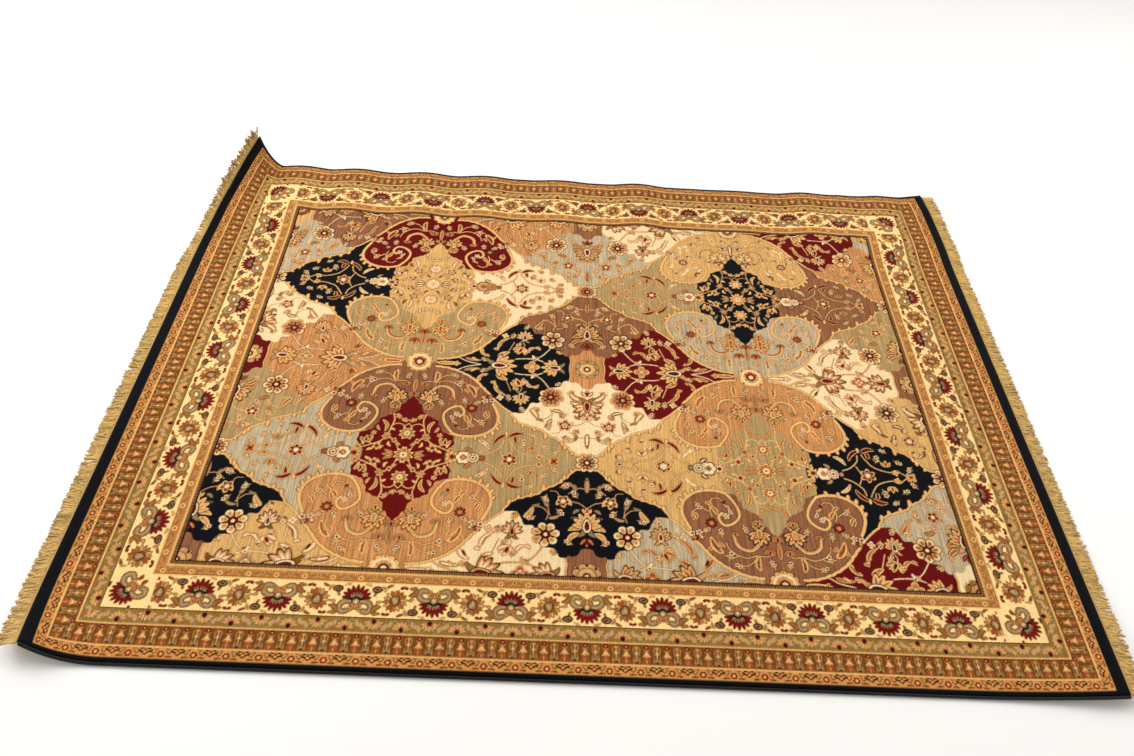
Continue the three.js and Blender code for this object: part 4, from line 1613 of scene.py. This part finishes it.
class RUG_OT_fringes(bpy.types.Operator):
    """Makes the fringe tapes and their strands at both ends"""

    bl_idname = "rug.fringes"
    bl_label = "Fringes"

    def execute(self, context):
        sizes = context.scene.rug_sizes
        colour = context.scene.rug_dyes.fringe
        material = yarn_material("fringe_yarn", colour, tone_amount=0.85, twist_scale=500.0, sheen=0.2)
        tree = fringe_tree()
        inner = WOVEN_HALF_LENGTH + SEAM_GAP
        outer = inner + TAPE_WIDTH
        for name, side, seed in (("fringe_left", -1, 5), ("fringe_right", 1, 8)):
            chance = np.random.default_rng(seed)
            places, faces = tape_places(side, inner, outer)
            count = sizes.strands
            spaced = np.arange(count) + 0.5 + chance.uniform(-STRAND_SCATTER, STRAND_SCATTER, count)
            v = WOVEN_HALF_WIDTH * (2 * spaced / count - 1)
            lean = chance.normal(FRINGE_LEAN, LEAN_SPREAD, count)
            short = 1 - (1 - SHORT_SHARE) * ease((v - SHORT_FROM) / SHORT_REACH) if side < 0 else 1.0
            reach = sizes.strand_length / MM * chance.uniform(*STRAND_SHARES, count) * short
            level = chance.uniform(*ROOT_LEVELS, count)
            roots = settle(side * (outer - ROOT_DEPTH), v, level)
            leaned = np.clip(v + lean, -WOVEN_HALF_WIDTH, WOVEN_HALF_WIDTH)
            tips = settle(side * (outer + reach), leaned, TIP_LEVEL)
            aims = tips - roots
            lifted = np.clip((tips[:, 2] - RUFFLE_LIFT[0]) / (RUFFLE_LIFT[1] - RUFFLE_LIFT[0]), 0, 1)
            piece = with_roots(
                name + "_yarn", places, faces, roots, aims, up_from(np.full(count, side * outer), v),
                reach=np.linalg.norm(aims, axis=1), ruffle=1.0 + LIFTED_RUFFLE * lifted,
            )
            grown(
                piece, tree, Radius=sizes.strand_radius, Tip_share=TIP_SHARE, Sway=sizes.strand_sway,
                Seed=seed, Material=material,
            )
            worn(piece, name)
        return {"FINISHED"}


# Stage.

CAMERA_PLACE = (-0.1024, -1.4763, 1.6111)
CAMERA_RIGHT = (0.99842, 0.01641, 0.05368)
CAMERA_UP = (-0.04818, 0.74136, 0.66937)
CAMERA_LENS, SENSOR_WIDTH = 27.97, 36.0
CAMERA_CLIP = (0.05, 100.0)
FLOOR_DROP, FLOOR_HALF = 0.0004, 12.0
FLOOR_PATCH_SCALE, FLOOR_PATCH_SWING = 0.9, 0.03
WARM_WHITE = (1.0, 0.97, 0.935)
SKY_STRENGTH = 0.63
LAMPS = (
    # name, place, aim, size, watts
    ("overhead", (-0.4, 0.9, 3.4), (0.0, 0.2, 0.0), 3.2, 46.0),
    ("left_panel", (-2.9, 1.1, 2.2), (-0.5, 0.1, 0.0), 2.0, 66.0),
    ("right_panel", (2.9, 1.0, 2.2), (0.6, 0.1, 0.0), 2.0, 40.0),
)


class RUG_OT_stage(bpy.types.Operator):
    """Makes the pale floor, the soft lights and the camera"""

    bl_idname = "rug.stage"
    bl_label = "Stage"

    def execute(self, context):
        scene = context.scene
        material, tree, shader = new_material("pale_floor", Roughness=0.55, Specular_IOR_Level=0.25)
        patch = swing(tree, noise(tree, object_places(tree), FLOOR_PATCH_SCALE), FLOOR_PATCH_SWING)
        coloured(tree, shader, plain_colour(tree, scene.rug_dyes.floor), patch)
        turns = ((-1, -1), (1, -1), (1, 1), (-1, 1))
        corners = [(x * FLOOR_HALF, y * FLOOR_HALF, -FLOOR_DROP) for x, y in turns]
        floor = new_object("floor", mesh_of("floor", corners, [(0, 1, 2, 3)]), material)

        world = bpy.data.worlds.new("studio")
        world.use_nodes = True
        sky = world.node_tree.nodes["Background"].inputs
        sky["Color"].default_value = (*WARM_WHITE, 1.0)
        sky["Strength"].default_value = SKY_STRENGTH
        scene.world = world
        for name, place, aim, size, watts in LAMPS:
            lamp = bpy.data.lights.new(name, "AREA")
            lamp.size, lamp.energy, lamp.color = size, watts, WARM_WHITE
            thing = new_object(name, lamp)
            thing.location = place
            thing.rotation_euler = (Vector(aim) - Vector(place)).to_track_quat("-Z", "Y").to_euler()

        camera = bpy.data.cameras.new("camera")
        camera.lens, camera.sensor_width = CAMERA_LENS, SENSOR_WIDTH
        camera.clip_start, camera.clip_end = CAMERA_CLIP
        right, up = Vector(CAMERA_RIGHT), Vector(CAMERA_UP)
        turn = Matrix((right, up, right.cross(up))).transposed().to_4x4()
        thing = new_object("camera", camera)
        thing.matrix_world = Matrix.Translation(CAMERA_PLACE) @ turn
        scene.camera = thing
        scene.view_settings.view_transform = "Standard"
        return {"FINISHED"}


class RUG_PT_panel(bpy.types.Panel):
    """Lists the rug's pieces and their sizes and colours"""

    bl_idname = "RUG_PT_panel"
    bl_label = "Pile rug"
    bl_space_type = "VIEW_3D"
    bl_region_type = "UI"
    bl_category = "Rug"

    def draw(self, context):
        for operator in OPERATORS:
            self.layout.operator(operator.bl_idname)
        for group in (context.scene.rug_sizes, context.scene.rug_dyes):
            box = self.layout.box()
            for key in group.bl_rna.properties.keys():
                if key not in {"rna_type", "name"}:
                    box.prop(group, key)


OPERATORS = (RUG_OT_backing, RUG_OT_pile, RUG_OT_bindings, RUG_OT_fringes, RUG_OT_stage)
CLASSES = (RugSizes, RugDyes, *OPERATORS, RUG_PT_panel)


def register():
    for part in CLASSES:
        bpy.utils.register_class(part)
    bpy.types.Scene.rug_sizes = PointerProperty(type=RugSizes)
    bpy.types.Scene.rug_dyes = PointerProperty(type=RugDyes)


def unregister():
    del bpy.types.Scene.rug_dyes
    del bpy.types.Scene.rug_sizes
    for part in reversed(CLASSES):
        bpy.utils.unregister_class(part)


def main():
    register()
    bpy.ops.rug.backing()
    bpy.ops.rug.pile()
    bpy.ops.rug.bindings()
    bpy.ops.rug.fringes()
    bpy.ops.rug.stage()


if __name__ == "__main__":
    main()
